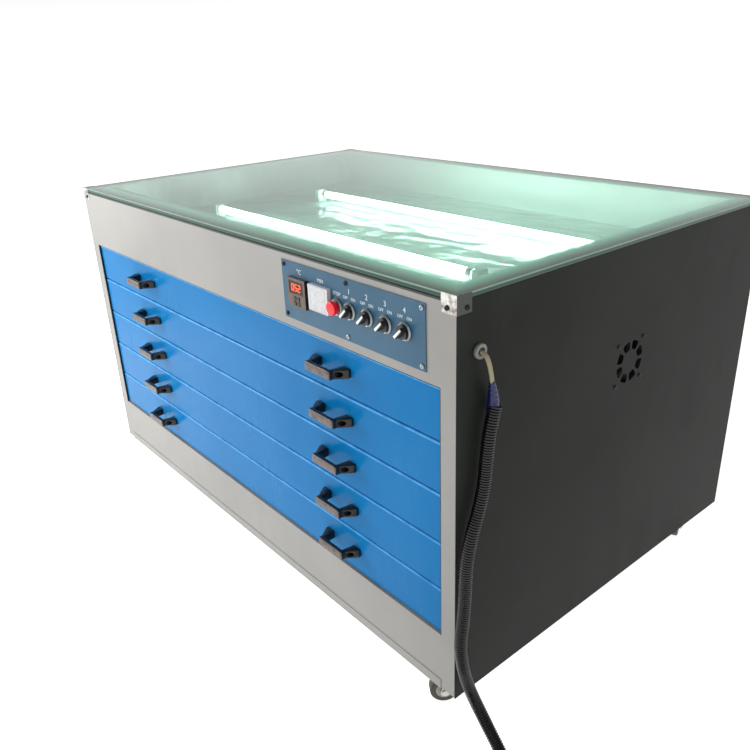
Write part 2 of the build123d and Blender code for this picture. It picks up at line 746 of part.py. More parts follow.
# Stop button: a round cap that stands off its collar by its travel
cap_seat = front - plate_face + COLLAR_REACH + STOP_TRAVEL + SWIVEL_GAP
button_foot = stem_foot + STOP_TRAVEL
with BuildPart() as button_cap:
    with BuildSketch(Plane.XY.offset(button_foot)):
        Circle(stem_radius)
    extrude(amount=cap_seat - button_foot)
    with BuildSketch(Plane.XY.offset(cap_seat)):
        Circle(STOP_CAP_RADIUS)
    extrude(amount=STOP_CAP_HEIGHT)
    fillet(button_cap.faces().sort_by(Axis.Z)[-1].edges(), STOP_CAP_HEIGHT / 4)
with BuildPart() as stop_button:
    with Locations(at_front(stop_x, control_level)):
        add(button_cap.part)
stop_button.part.label = "stop_button"
export_step(stop_button.part, "parts/stop_button.step")

# Runners in the cabinet: channels open towards the drawers
drawer_floors = [bay_top - (i + 1) * DRAWER_PITCH for i in range(DRAWER_COUNT)]
drawer_face = front + FRONT_SETBACK
pan_rear = drawer_face + FRONT_PAN_DEPTH
runner_start = pan_rear + DRAWER_GAP
with BuildPart() as cabinet_runners:
    for side in (-1, 1):
        for drawer_floor in drawer_floors:
            low = drawer_floor + RUNNER_RISE
            web = side * opening_half_width
            lips = side * (opening_half_width - RUNNER_DEPTH)
            with BuildSketch(facing_front(runner_start)):
                with Locations(((web + lips) / 2, low + RUNNER_HEIGHT / 2)):
                    Rectangle(RUNNER_DEPTH, RUNNER_HEIGHT)
                with Locations(((web + lips) / 2 - side * RUNNER_WALL,
                                low + RUNNER_HEIGHT / 2)):
                    Rectangle(RUNNER_DEPTH, RUNNER_HEIGHT - 2 * RUNNER_WALL,
                              mode=Mode.SUBTRACT)
            extrude(amount=-(rear_inner - runner_start))
cabinet_runners.part.label = "cabinet_runners"
export_step(cabinet_runners.part, "parts/cabinet_runners.step")

# Drawers, numbered from the top: folded front, open tray with its slide bars fastened
# inside it, two handles
front_half_width = opening_half_width - SIDE_GAP
front_height = DRAWER_PITCH - DRAWER_GAP
rail_x = opening_half_width - RUNNER_DEPTH - RAIL_CLEARANCE
bar_outer = opening_half_width - RUNNER_WALL - SLIDE_CLEARANCE
bar_height = RUNNER_HEIGHT - 2 * RUNNER_WALL - 2 * SLIDE_CLEARANCE
tray_start = drawer_face + SHEET
tray_end = tray_start + TRAY_RUN
tray_mid = (tray_start + tray_end) / 2
cross_span = TRAY_RUN - RAIL_SHELF
for i, drawer_floor in enumerate(drawer_floors, 1):
    front_mid = drawer_floor + DRAWER_PITCH / 2
    with BuildPart() as drawer_front:
        with BuildSketch(facing_front(drawer_face)):
            with Locations((0, front_mid)):
                Rectangle(2 * front_half_width, front_height)
        extrude(amount=-FRONT_PAN_DEPTH)
        fillet(drawer_front.faces().sort_by(Axis.Y)[0].edges(), FRONT_BEND)
        with BuildSketch(facing_front(pan_rear)):
            with Locations((0, front_mid)):
                Rectangle(2 * (front_half_width - SHEET), front_height - 2 * SHEET)
        extrude(amount=FRONT_PAN_DEPTH - SHEET, mode=Mode.SUBTRACT)
    drawer_front.part.label = f"drawer_{i}_front"
    export_step(drawer_front.part, f"parts/drawer_{i}_front.step")

    rail_low = drawer_floor + RAIL_RISE
    runner_mid = drawer_floor + RUNNER_RISE + RUNNER_HEIGHT / 2
    with BuildPart() as drawer_tray:
        with BuildSketch(level(rail_low)):
            with Locations((0, tray_mid)):
                Rectangle(2 * rail_x, TRAY_RUN)
                Rectangle(2 * (rail_x - RAIL_SHEET), TRAY_RUN - 2 * RAIL_SHEET,
                          mode=Mode.SUBTRACT)
        extrude(amount=RAIL_HEIGHT)
        with BuildSketch(level(rail_low)):
            with Locations((0, tray_mid)):
                Rectangle(2 * rail_x, TRAY_RUN)
                Rectangle(2 * (rail_x - RAIL_SHELF), TRAY_RUN - 2 * RAIL_SHELF,
                          mode=Mode.SUBTRACT)
        extrude(amount=RAIL_SHEET)
        with BuildSketch(level(rail_low)):
            with Locations((0, tray_mid)):
                with GridLocations(0, cross_span / (CROSS_BAR_COUNT + 1), 1,
                                   CROSS_BAR_COUNT):
                    Rectangle(2 * (rail_x - RAIL_SHELF / 2), CROSS_BAR_WIDTH)
        extrude(amount=-CROSS_BAR_HEIGHT)
        for side in (-1, 1):
            with BuildSketch(facing_front(runner_start)):
                with Locations((side * (rail_x + bar_outer) / 2, runner_mid)):
                    Rectangle(bar_outer - rail_x, bar_height)
            extrude(amount=-(tray_end - runner_start))
    drawer_tray.part.label = f"drawer_{i}_tray"
    export_step(drawer_tray.part, f"parts/drawer_{i}_tray.step")

# One bridge handle, its feet on Y = 0
with BuildPart() as bridge_handle:
    with BuildSketch(Plane.XY.offset(-HANDLE_BAR_HEIGHT / 2)):
        with BuildLine():
            outer_foot = HANDLE_SPAN / 2
            inner_foot = HANDLE_SPAN / 2 - FOOT_LENGTH
            Polyline(
                (-outer_foot, 0), (-outer_foot, -FOOT_THICKNESS),
                (-HANDLE_BAR / 2, -HANDLE_REACH), (HANDLE_BAR / 2, -HANDLE_REACH),
                (outer_foot, -FOOT_THICKNESS), (outer_foot, 0), (inner_foot, 0),
                (inner_foot, -FOOT_THICKNESS),
                (HANDLE_BAR / 2 - HANDLE_THICKNESS, -HANDLE_REACH + HANDLE_THICKNESS),
                (-HANDLE_BAR / 2 + HANDLE_THICKNESS, -HANDLE_REACH + HANDLE_THICKNESS),
                (-inner_foot, -FOOT_THICKNESS), (-inner_foot, 0),
                close=True)
        make_face()
    extrude(amount=HANDLE_BAR_HEIGHT)
    fillet(bridge_handle.faces().sort_by(Axis.Y)[0].edges(), HANDLE_EDGE)
    with Locations(*[
        Location((side * (HANDLE_SPAN - FOOT_LENGTH) / 2, -FOOT_THICKNESS, 0), (90, 0, 0))
        for side in (-1, 1)
    ]):
        Cylinder(HANDLE_SCREW_RADIUS, HANDLE_REACH,
                 align=(Align.CENTER, Align.CENTER, Align.MIN), mode=Mode.SUBTRACT)
        Cylinder(HANDLE_SCREW_RADIUS, HANDLE_SCREW_DEPTH,
                 align=(Align.CENTER, Align.CENTER, Align.MAX), mode=Mode.SUBTRACT)
for i, drawer_floor in enumerate(drawer_floors, 1):
    handle_level = drawer_floor + DRAWER_PITCH / 2 + HANDLE_RISE
    with BuildPart() as drawer_handles:
        with Locations((-HANDLE_X, drawer_face, handle_level),
                       (HANDLE_X, drawer_face, handle_level)):
            add(bridge_handle.part)
    drawer_handles.part.label = f"drawer_{i}_handles"
    export_step(drawer_handles.part, f"parts/drawer_{i}_handles.step")

# Fan frame, inside the right side panel: square housing, motor seat on struts, shaft
fan_outer = inner_half_width
fan_inner = fan_outer - FAN_THICKNESS
seat_thickness = FAN_STRUT
shaft_end = fan_inner + seat_thickness + FAN_RUNNING_GAP + HUB_LENGTH
with BuildPart() as fan_frame:
    with BuildSketch(facing_right(fan_inner)):
        with Locations((fan_y, fan_level)):
            RectangleRounded(FAN_SIDE, FAN_SIDE, FAN_CORNER)
            Circle(FAN_BORE_RADIUS, mode=Mode.SUBTRACT)
            with GridLocations(FAN_SCREW_PITCH, FAN_SCREW_PITCH, 2, 2):
                Circle(screw_hole_radius, mode=Mode.SUBTRACT)
    extrude(amount=FAN_THICKNESS)
    with BuildSketch(facing_right(fan_inner)):
        with Locations((fan_y, fan_level)):
            Circle(HUB_RADIUS)
            with PolarLocations(0, FAN_STRUT_COUNT, start_angle=90):
                with Locations(((HUB_RADIUS + FAN_BORE_RADIUS) / 2, 0)):
                    Rectangle(FAN_BORE_RADIUS - HUB_RADIUS + FAN_STRUT, FAN_STRUT)
    extrude(amount=seat_thickness)
    with BuildSketch(facing_right(fan_inner + seat_thickness)):
        with Locations((fan_y, fan_level)):
            Circle(FAN_SHAFT_RADIUS)
    extrude(amount=shaft_end - fan_inner - seat_thickness)
fan_frame.part.label = "fan_frame"
export_step(fan_frame.part, "parts/fan_frame.step")

# Fan rotor: hub with pitched blades, made on Z and set on the shaft
blade_tip = FAN_BORE_RADIUS - BLADE_TIP_GAP
blade_span = blade_tip - HUB_RADIUS / 2
with BuildPart() as rotor_on_z:
    with BuildSketch():
        Circle(HUB_RADIUS)
    extrude(amount=HUB_LENGTH)
    with PolarLocations((HUB_RADIUS / 2 + blade_tip) / 2, BLADE_COUNT):
        with Locations(Location((0, 0, HUB_LENGTH / 2), (BLADE_PITCH, 0, 0))):
            Box(blade_span, BLADE_CHORD, BLADE_THICKNESS)
    with BuildSketch():
        Circle(blade_tip)
    extrude(amount=HUB_LENGTH, mode=Mode.INTERSECT)
    with BuildSketch():
        Circle(FAN_SHAFT_RADIUS + FAN_SHAFT_CLEARANCE)
    extrude(amount=HUB_LENGTH, mode=Mode.SUBTRACT)
with BuildPart() as fan_rotor:
    with Locations(Location((fan_inner + seat_thickness + FAN_RUNNING_GAP, fan_y, fan_level),
                            (0, 90, 0))):
        add(rotor_on_z.part)
fan_rotor.part.label = "fan_rotor"
export_step(fan_rotor.part, "parts/fan_rotor.step")

# Heating elements: U-shaped rods, each on two brackets that stand on the bottom pan
pan_top = base + PAN_SHEET
heater_level = pan_top + HEATER_RISE
bracket_places = [-HEATER_RUN / 2 + HEATER_BEND_RADIUS, HEATER_RUN / 4]
with BuildPart() as heater_elements:
    for i in range(HEATER_COUNT):
        heater_y = (front + rear_inner) / 2 + (i - (HEATER_COUNT - 1) / 2) * HEATER_SPACING
        with BuildLine(level(heater_level)) as heater_path:
            left_leg = Line((-HEATER_RUN / 2, heater_y - HEATER_BEND_RADIUS),
                            (HEATER_RUN / 2, heater_y - HEATER_BEND_RADIUS))
            bend = JernArc(left_leg @ 1, left_leg % 1, HEATER_BEND_RADIUS, 180)
            Line(bend @ 1, (-HEATER_RUN / 2, heater_y + HEATER_BEND_RADIUS))
        with BuildSketch(facing_right(-HEATER_RUN / 2)):
            with Locations((heater_y - HEATER_BEND_RADIUS, heater_level)):
                Circle(HEATER_RADIUS)
        sweep(path=heater_path.wire())
        for bracket_x in bracket_places:
            with BuildSketch(facing_right(bracket_x)):
                with Locations((heater_y, (pan_top + heater_level) / 2)):
                    Rectangle(2 * (HEATER_BEND_RADIUS + BRACKET_MARGIN),
                              heater_level - pan_top)
                with Locations((heater_y, heater_level)):
                    Rectangle(2 * (HEATER_BEND_RADIUS + BRACKET_MARGIN), 2 * BRACKET_MARGIN)
            extrude(amount=BRACKET_THICKNESS)
heater_elements.part.label = "heater_elements"
export_step(heater_elements.part, "parts/heater_elements.step")

# Castors, each turned its own way at rest
castor_places = {
    f"{end_name}_{side_name}": (side * (half_width - CASTOR_INSET),
                                end_face(end) - end * CASTOR_INSET)
    for end_name, end in (("front", -1), ("rear", 1))
    for side_name, side in (("left", -1), ("right", 1))
}
castor_headings = dict(zip(castor_places, CASTOR_HEADINGS))
plate_underside = base - CASTOR_PLATE_THICKNESS
crown_top = plate_underside - FORK_CROWN_GAP
crown_foot = crown_top - FORK_CROWN_HEIGHT
pin_head_top = crown_foot - SWIVEL_GAP
axle_level = WHEEL_RADIUS
hub_half = WHEEL_WIDTH / 2 + HUB_BOSS
leg_inner = hub_half + FORK_SIDE_GAP
leg_outer = leg_inner + FORK_SHEET
leg_head = math.sqrt(FORK_CROWN_RADIUS ** 2 - leg_outer ** 2)
with BuildPart() as castor_plates:
    with BuildSketch(level(plate_underside)):
        with Locations(*castor_places.values()):
            RectangleRounded(CASTOR_PLATE_SIDE, CASTOR_PLATE_SIDE, CASTOR_PLATE_THICKNESS)
    extrude(amount=CASTOR_PLATE_THICKNESS)
    with BuildSketch(level(crown_top + SWIVEL_GAP)):
        with Locations(*castor_places.values()):
            Circle(FORK_CROWN_RADIUS)
    extrude(amount=FORK_CROWN_GAP - SWIVEL_GAP)
    with BuildSketch(level(pin_head_top - KINGPIN_HEAD)):
        with Locations(*castor_places.values()):
            Circle(KINGPIN_RADIUS)
    extrude(amount=plate_underside - pin_head_top + KINGPIN_HEAD)
    with BuildSketch(level(pin_head_top - KINGPIN_HEAD)):
        with Locations(*castor_places.values()):
            Circle(KINGPIN_HEAD_RADIUS)
    extrude(amount=KINGPIN_HEAD)
castor_plates.part.label = "castor_plates"
export_step(castor_plates.part, "parts/castor_plates.step")

# One fork, its swivel axis on Z, trailing to the front, with the axle riveted across its legs
with BuildPart() as fork_on_axis:
    with BuildSketch(level(crown_foot)):
        Circle(FORK_CROWN_RADIUS)
    extrude(amount=FORK_CROWN_HEIGHT)
    for side in (-1, 1):
        with BuildSketch(facing_right(side * leg_inner)):
            with Locations((-CASTOR_TRAIL, axle_level)):
                Circle(AXLE_HEAD_RADIUS + FORK_SHEET)
            with Locations((0, crown_foot + FORK_SHEET / 2)):
                Rectangle(2 * leg_head, FORK_SHEET)
            make_hull()
        extrude(amount=side * FORK_SHEET)
    with BuildSketch(facing_right(-leg_outer)):
        with Locations((-CASTOR_TRAIL, axle_level)):
            Circle(AXLE_RADIUS)
    extrude(amount=2 * leg_outer)
    for side in (-1, 1):
        with BuildSketch(facing_right(side * leg_outer)):
            with Locations((-CASTOR_TRAIL, axle_level)):
                Circle(AXLE_HEAD_RADIUS)
        extrude(amount=side * AXLE_HEAD)
    with BuildSketch(level(crown_foot)):
        Circle(KINGPIN_RADIUS + KINGPIN_CLEARANCE)
    extrude(amount=FORK_CROWN_HEIGHT, mode=Mode.SUBTRACT)

# One wheel on the axle
with BuildPart() as wheel_on_axis:
    with BuildSketch(facing_right(-WHEEL_WIDTH / 2)):
        with Locations((-CASTOR_TRAIL, axle_level)):
            Circle(WHEEL_RADIUS)
    extrude(amount=WHEEL_WIDTH)
    fillet(wheel_on_axis.edges().filter_by(GeomType.CIRCLE), WHEEL_TREAD_BEND)
    with BuildSketch(facing_right(-hub_half)):
        with Locations((-CASTOR_TRAIL, axle_level)):
            Circle(HUB_BOSS_RADIUS)
    extrude(amount=2 * hub_half)
    with BuildSketch(facing_right(-hub_half)):
        with Locations((-CASTOR_TRAIL, axle_level)):
            Circle(AXLE_RADIUS + AXLE_CLEARANCE)
    extrude(amount=2 * hub_half, mode=Mode.SUBTRACT)

for place_name, castor_place in castor_places.items():
    castor_stand = Location((*castor_place, 0), (0, 0, castor_headings[place_name]))
    with BuildPart() as castor_fork:
        with Locations(castor_stand):
            add(fork_on_axis.part)
    castor_fork.part.label = f"castor_fork_{place_name}"
    export_step(castor_fork.part, f"parts/castor_fork_{place_name}.step")
    with BuildPart() as castor_wheel:
        with Locations(castor_stand):
            add(wheel_on_axis.part)
    castor_wheel.part.label = f"castor_wheel_{place_name}"
    export_step(castor_wheel.part, f"parts/castor_wheel_{place_name}.step")

# Cable gland through the right side panel
with BuildPart() as gland:
    with BuildSketch(facing_right(half_width)):
        with Locations((gland_y, gland_level)):
            Circle(GLAND_FLANGE_RADIUS)
    extrude(amount=GLAND_FLANGE)
    fillet(gland.faces().sort_by(Axis.X)[-1].edges(), GLAND_EDGE)
    with BuildSketch(facing_right(inner_half_width - GLAND_NUT)):
        with Locations((gland_y, gland_level)):
            Circle(GLAND_BARREL_RADIUS)
    extrude(amount=SHEET + GLAND_NUT)
    with BuildSketch(facing_right(inner_half_width)):
        with Locations((gland_y, gland_level)):
            Circle(GLAND_NUT_RADIUS)
    extrude(amount=-GLAND_NUT)
    with BuildSketch(facing_right(inner_half_width - GLAND_NUT)):
        with Locations((gland_y, gland_level)):
            Circle(CABLE_RADIUS + CABLE_CLEARANCE)
    extrude(amount=GLAND_NUT + SHEET + GLAND_FLANGE, mode=Mode.SUBTRACT)
gland.part.label = "gland"
export_step(gland.part, "parts/gland.step")


def route_radii(points):
    """The radius of each corner of a route: as large as its two runs allow."""
    radii = []
    for before, corner, after in zip(points, points[1:], points[2:]):
        arriving, leaving = Vector(*corner) - Vector(*before), Vector(*after) - Vector(*corner)
        half_turn = math.radians(arriving.get_angle(leaving)) / 2
        radii.append(0.45 * min(arriving.length, leaving.length) / math.tan(half_turn))
    return radii


def tell(name, least_radius, length, tube, mean_square):
    """Prints the tube's least radius, length, and volume against section times length."""
    expected = math.pi * mean_square * length
    print(name, "least radius", round(least_radius, 1), "length", round(length, 1),
          "volume share", round(tube.volume / expected, 4))


# Cable from inside the gland down into the conduit's mouth, where it lies on the bore
cable_start = half_width - CABLE_START
cable_points = [
    (cable_start, gland_y, gland_level), (634.5, gland_y, gland_level), (641.3, -354.3, 648.5),
    (641, -348.5, 627), (638.4, -342.5, 605), (636.1, -337.5, 583), (635.7, -342, 565),
]
with BuildPart() as supply_cable:
    with BuildLine() as cable_line:
        FilletPolyline(*cable_points, radius=route_radii(cable_points))
    with BuildSketch(facing_right(cable_start)):
        with Locations((gland_y, gland_level)):
            Circle(CABLE_RADIUS)
    sweep(path=cable_line.wire())
supply_cable.part.label = "supply_cable"
export_step(supply_cable.part, "parts/supply_cable.step")
tell("supply_cable", min(route_radii(cable_points)), cable_line.wire().length,
     supply_cable.part, CABLE_RADIUS ** 2)

# Corrugated conduit down the side panel and onto the floor
conduit_points = [
    (639.3, -338, 581), (639, -347.6, 547), (639, -352, 511), (639, -355.5, 467),
    (639, -365.5, 427), (639, -381.5, 387), (639, -391, 339), (639, -392.5, 287),
    (639, -395.5, 241), (639, -402.5, 199), (640.7, -398.3, 156), (641.5, -389.7, 120),
    (647.1, -383.8, 94), (657.2, -380.4, 73), (671.6, -379.5, 54), (687, -379.8, 37),
    (707.4, -383.6, 23), (743.4, -396.6, 11), (785.4, -415.6, CONDUIT_RADIUS),
    (827.4, -439.6, CONDUIT_RADIUS),
]
with BuildLine() as conduit_line:
    FilletPolyline(*conduit_points, radius=route_radii(conduit_points))
conduit_path = conduit_line.wire()
steady_axis = Vector(0.35, 1, 0)
rib_sections = [(0.0, CONDUIT_VALLEY_RADIUS), (0.25, CONDUIT_RADIUS),
                (0.6, CONDUIT_RADIUS), (0.85, CONDUIT_VALLEY_RADIUS)]
with BuildPart() as conduit:
    for rib in range(CONDUIT_RIBS):
        for share, radius in rib_sections:
            along = (rib + share) / CONDUIT_RIBS
            with BuildSketch(Plane(origin=conduit_path @ along, x_dir=steady_axis,
                                   z_dir=conduit_path % along)):
                Circle(radius)
    with BuildSketch(Plane(origin=conduit_path @ 1, x_dir=steady_axis,
                           z_dir=conduit_path % 1)):
        Circle(CONDUIT_VALLEY_RADIUS)
    loft(ruled=True)
    with BuildSketch(Plane(origin=conduit_path @ 0, x_dir=steady_axis,
                           z_dir=conduit_path % 0)):
        Circle(CONDUIT_BORE_RADIUS)
    sweep(path=conduit_path, mode=Mode.SUBTRACT)
conduit.part.label = "conduit"
export_step(conduit.part, "parts/conduit.step")
rib_outline = rib_sections + [(1.0, CONDUIT_VALLEY_RADIUS)]
rib_square = sum((b - a) * (p * p + p * q + q * q) / 3
                 for (a, p), (b, q) in zip(rib_outline, rib_outline[1:]))
tell("conduit", min(route_radii(conduit_points)), conduit_path.length, conduit.part,
     rib_square - CONDUIT_BORE_RADIUS ** 2)

# The rest of the conduit, coiled flat on the floor out of the way, spiralling inwards
coil_entry = Vector(*conduit_points[-1])
coil_heading = (coil_entry - Vector(*conduit_points[-2])).normalized()
with BuildPart() as conduit_coil:
    with BuildLine(level(CONDUIT_RADIUS)) as coil_line:
        entry = (coil_entry.X, coil_entry.Y)
        ahead = coil_entry + coil_heading * 2 * CONDUIT_RADIUS
        last = Line(entry, (ahead.X, ahead.Y))
        for half_turn in range(COIL_HALF_TURNS):
            last = JernArc(last @ 1, last % 1, COIL_RADIUS - half_turn * COIL_STEP / 2, -180)
        last = JernArc(last @ 1, last % 1, COIL_TAIL_RADIUS, -180)
        coil_end = (last @ 1) + (last % 1) * 2 * CONDUIT_RADIUS
        Line(last @ 1, coil_end)
        plug_heading = last % 1
    coil_path = coil_line.wire()
    with BuildSketch(Plane(origin=coil_path @ 0, z_dir=coil_path % 0)):
        Circle(CONDUIT_RADIUS)
    sweep(path=coil_path)
conduit_coil.part.label = "conduit_coil"
export_step(conduit_coil.part, "parts/conduit_coil.step")
samples = round(2 * coil_path.length / CONDUIT_RADIUS)
coil_samples = [coil_path @ (i / samples) for i in range(samples + 1)]
half_tail_turn = math.floor(math.pi * COIL_TAIL_RADIUS / (coil_path.length / samples))
coil_gap = min((near - far).length for i, near in enumerate(coil_samples)
               for far in coil_samples[i + half_tail_turn:]) - 2 * CONDUIT_RADIUS
tell("conduit_coil", COIL_TAIL_RADIUS, coil_path.length, conduit_coil.part,
     CONDUIT_RADIUS ** 2)
print("conduit_coil least gap to itself", round(coil_gap, 2))

# Plug at the coil's inner end, resting on the floor like the conduit
plug_rise = PLUG_HEIGHT / 2 - CONDUIT_RADIUS
plug_plane = Plane(origin=coil_path @ 1, x_dir=Vector(0, 0, 1), z_dir=plug_heading)
with BuildPart() as plug:
    with BuildSketch(plug_plane):
        Circle(CONDUIT_VALLEY_RADIUS)
    with BuildSketch(plug_plane.offset(PLUG_BOOT_LENGTH)):
        Circle(PLUG_BOOT_RADIUS)
    loft()
    with BuildSketch(plug_plane.offset(PLUG_BOOT_LENGTH)):
        with Locations((plug_rise, 0)):
            RectangleRounded(PLUG_HEIGHT, PLUG_WIDTH, PLUG_CORNER)
    extrude(amount=PLUG_LENGTH)
    with BuildSketch(plug_plane.offset(PLUG_BOOT_LENGTH + PLUG_LENGTH)):
        with Locations((plug_rise - PLUG_PIN_RISE, -PLUG_PIN_SPREAD / 2),
                       (plug_rise - PLUG_PIN_RISE, PLUG_PIN_SPREAD / 2)):
            Rectangle(PLUG_PIN_THICKNESS, PLUG_PIN_WIDTH)
        with Locations((plug_rise + PLUG_PIN_RISE, 0)):
            Rectangle(PLUG_PIN_WIDTH, PLUG_PIN_THICKNESS)
    extrude(amount=PLUG_PIN_LENGTH)
plug.part.label = "plug"
export_step(plug.part, "parts/plug.step")
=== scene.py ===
import bisect
import contextlib
import math
from functools import partialmethod
import bmesh
import bpy
from bpy.props import FloatProperty, FloatVectorProperty, IntProperty, PointerProperty
from mathutils import Matrix, Vector


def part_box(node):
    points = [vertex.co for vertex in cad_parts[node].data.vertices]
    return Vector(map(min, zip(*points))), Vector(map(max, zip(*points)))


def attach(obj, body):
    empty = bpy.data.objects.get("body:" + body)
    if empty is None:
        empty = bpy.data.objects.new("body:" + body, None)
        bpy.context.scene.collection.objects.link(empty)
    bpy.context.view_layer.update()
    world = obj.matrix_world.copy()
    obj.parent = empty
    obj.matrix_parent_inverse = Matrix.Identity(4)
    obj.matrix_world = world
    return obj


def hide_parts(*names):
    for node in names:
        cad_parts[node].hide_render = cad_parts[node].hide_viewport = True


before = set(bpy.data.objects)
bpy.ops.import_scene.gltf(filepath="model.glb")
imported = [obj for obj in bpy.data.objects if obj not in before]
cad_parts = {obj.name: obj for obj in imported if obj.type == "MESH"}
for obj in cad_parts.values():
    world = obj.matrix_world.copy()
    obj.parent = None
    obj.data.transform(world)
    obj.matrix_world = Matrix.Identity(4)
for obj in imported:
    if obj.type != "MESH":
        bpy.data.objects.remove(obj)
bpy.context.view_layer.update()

bl_info = {
    "name": "Screen Printing Dryer",
    "version": (1, 0, 0),
    "blender": (4, 5, 0),
    "location": "3D View > Sidebar > Dryer",
    "description": "Dresses a drying cabinet with an exposure light table on top",
    "category": "Add Mesh",
}

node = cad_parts
glass_low, glass_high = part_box("glass_top")
glass_middle, glass_half = (glass_low + glass_high) / 2, (glass_high - glass_low) / 2
fascia_low, fascia_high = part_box("upper_fascia")
panel_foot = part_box("right_side_panel")[0].z
plate_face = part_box("control_plate")[0].y
DRAWERS = 5
SELECTORS = 4
# Where the two handles of a drawer have their middles, from side to side
HANDLE_CENTRES = (-0.347, 0.347)

# The supply lead's route, in metres: cable, conduit, and where the coil starts
CABLE_ROUTE = [
    (0.62, -0.3559, 0.662), (0.6345, -0.3559, 0.662), (0.6413, -0.3543, 0.6485),
    (0.641, -0.3485, 0.627), (0.6384, -0.3425, 0.605), (0.6361, -0.3375, 0.583),
    (0.6357, -0.342, 0.565),
]
CONDUIT_ROUTE = [
    (0.6393, -0.338, 0.581), (0.639, -0.3476, 0.547), (0.639, -0.352, 0.511),
    (0.639, -0.3555, 0.467), (0.639, -0.3655, 0.427), (0.639, -0.3815, 0.387),
    (0.639, -0.391, 0.339), (0.639, -0.3925, 0.287), (0.639, -0.3955, 0.241),
    (0.639, -0.4025, 0.199), (0.6407, -0.3983, 0.156), (0.6415, -0.3897, 0.12),
    (0.6471, -0.3838, 0.094), (0.6572, -0.3804, 0.073), (0.6716, -0.3795, 0.054),
    (0.687, -0.3798, 0.037), (0.7074, -0.3836, 0.023), (0.7434, -0.3966, 0.011),
    (0.7854, -0.4156, 0.01), (0.8274, -0.4396, 0.01),
]
# Radii of the coil's half turns, and the straight stretch before and after them
COIL_RADII = (0.14, 0.1296, 0.1192, 0.1088, 0.0984, 0.055)
COIL_STRAIGHT = 0.02
# Points that guide a half turn, and how far out they lie, as the spline cuts its corners
COIL_POINTS = 8
COIL_SPREAD = 1.0194
# Points round the cable, its step from ring to ring, and a core's radius by its width
CABLE_SIDES = 28
CABLE_STEP = 0.0015
CORE_SHARE = 0.307
# Where the tape starts on the cable, how far before the cable's end it stops, its turns
TAPE_FOOT = 0.058
TAPE_MARGIN = 0.007
TAPE_TURNS = 5
# Where the plug's pins start, from the conduit's end
PINS_FROM = 0.048
# Half the width of the opening that the drawers fill
OPENING_HALF = 0.5938
# Beyond this distance from the middle, the faces of the clips get painted shade
CLIP_SHADED_FROM = 0.6253
# The tubes of the light box
LAMP_LENGTH = 0.849
LAMP_RADIUS = 0.008
# How far the pane is lifted off the rim, and the chamfer on its edges
PANE_LIFT = 0.00008
PANE_CHAMFER = 0.0007
# The slots of the screws' crosses, and the wells in the handles' feet
SLOT_LENGTH = 0.0046
SLOT_WIDTH = 0.0009
WELL_RADIUS = 0.0042
# Up to this Y the temperature controller's case carries a brown painted reflection; how far
# from the middle the outline on the timer's face lies; and the pale hubs of the castors
CASE_FACE = -0.4079
DIAL_LINE = 0.0195
HUB_RADIUS = 0.015
# How far each castor has swivelled, in degrees
CASTOR_HEADINGS = {"front_left": 160, "front_right": -35,
                   "rear_left": 150, "rear_right": 20}

# Seats of the pan-head screws and the way that their heads face: the clips' and the
# fan's are dark, the control plate's are half dark and half bright
FRONT, BACK = Vector((0, -1, 0)), Vector((0, 1, 0))
LEFT, RIGHT = Vector((-1, 0, 0)), Vector((1, 0, 0))
DARK_SCREWS = (
    [((x, y, 0.728), way) for x in (-0.608, 0.608)
     for y, way in ((-0.3993, FRONT), (0.4273, BACK))]
    + [((x, y, 0.728), way) for y in (-0.3805, 0.4085)
       for x, way in ((-0.6258, LEFT), (0.6258, RIGHT))]
    + [((0.625, y, z), RIGHT) for y in (-0.0226, 0.0489) for z in (0.5009, 0.5724)]
    + [((x, -0.4, z), FRONT) for x, z in ((0.238, 0.634), (0.238, 0.718), (0.4, 0.718))]
)
BRIGHT_SCREWS = [((x, -0.4, z), FRONT)
                 for x, z in ((0.4, 0.634), (0.562, 0.634), (0.562, 0.718))]

# The words beside the controls: text, place across, height above the floor, size
WORDS = [("STOP", 0.376, 0.6945, 0.0078), ("MIN", 0.336, 0.7055, 0.0085),
         ("°C", 0.2795, 0.7075, 0.011)]

# The camera as fitted to the photograph: millimetres of lens and sensor, place and axes
FOCAL_LENGTH = 36.24
SENSOR_WIDTH = 36
CAMERA_PLACE = (1.2511, -1.0462, 1.0370)
CAMERA_RIGHT = Vector((0.64474009, 0.76345167, -0.03810193))
CAMERA_UP = Vector((-0.28420228, 0.28568663, 0.91521157))
CAMERA_AHEAD = Vector((-0.70960502, 0.57924493, -0.40116832))
LIGHTS_AIM = Vector((0, 0, 0.4))
# The height of a direction where the white backdrop starts to fade, and where it ends
FADE_FROM, FADE_TO = 0.05, 0.24


def rgb(red, green, blue):
    """A colour read off a screen, 0 to 255, as the linear values that a shader takes."""
    return tuple(
        (c / 255 / 12.92) if c <= 10.31 else ((c / 255 + 0.055) / 1.055) ** 2.4
        for c in (red, green, blue)
    )


def scaled(colour, factor, plus=0.0):
    """The colour made darker or lighter by a factor, with an even grey added."""
    return tuple(c * factor + plus for c in colour)


def centre_of(name):
    """The middle of a CAD node's box."""
    low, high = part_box(name)
    return (low + high) / 2


# Settings a user would change: each call makes a property of the kind it names

def tint(name, description, red, green, blue):
    return FloatVectorProperty(name=name, description=description, subtype="COLOR", size=3,
                               min=0, max=1, default=rgb(red, green, blue))


def length(name, description, metres):
    return FloatProperty(name=name, description=description, default=metres, min=0,
                         unit="LENGTH", subtype="DISTANCE")


def number(name, description, default):
    return FloatProperty(name=name, description=description, default=default, min=0)


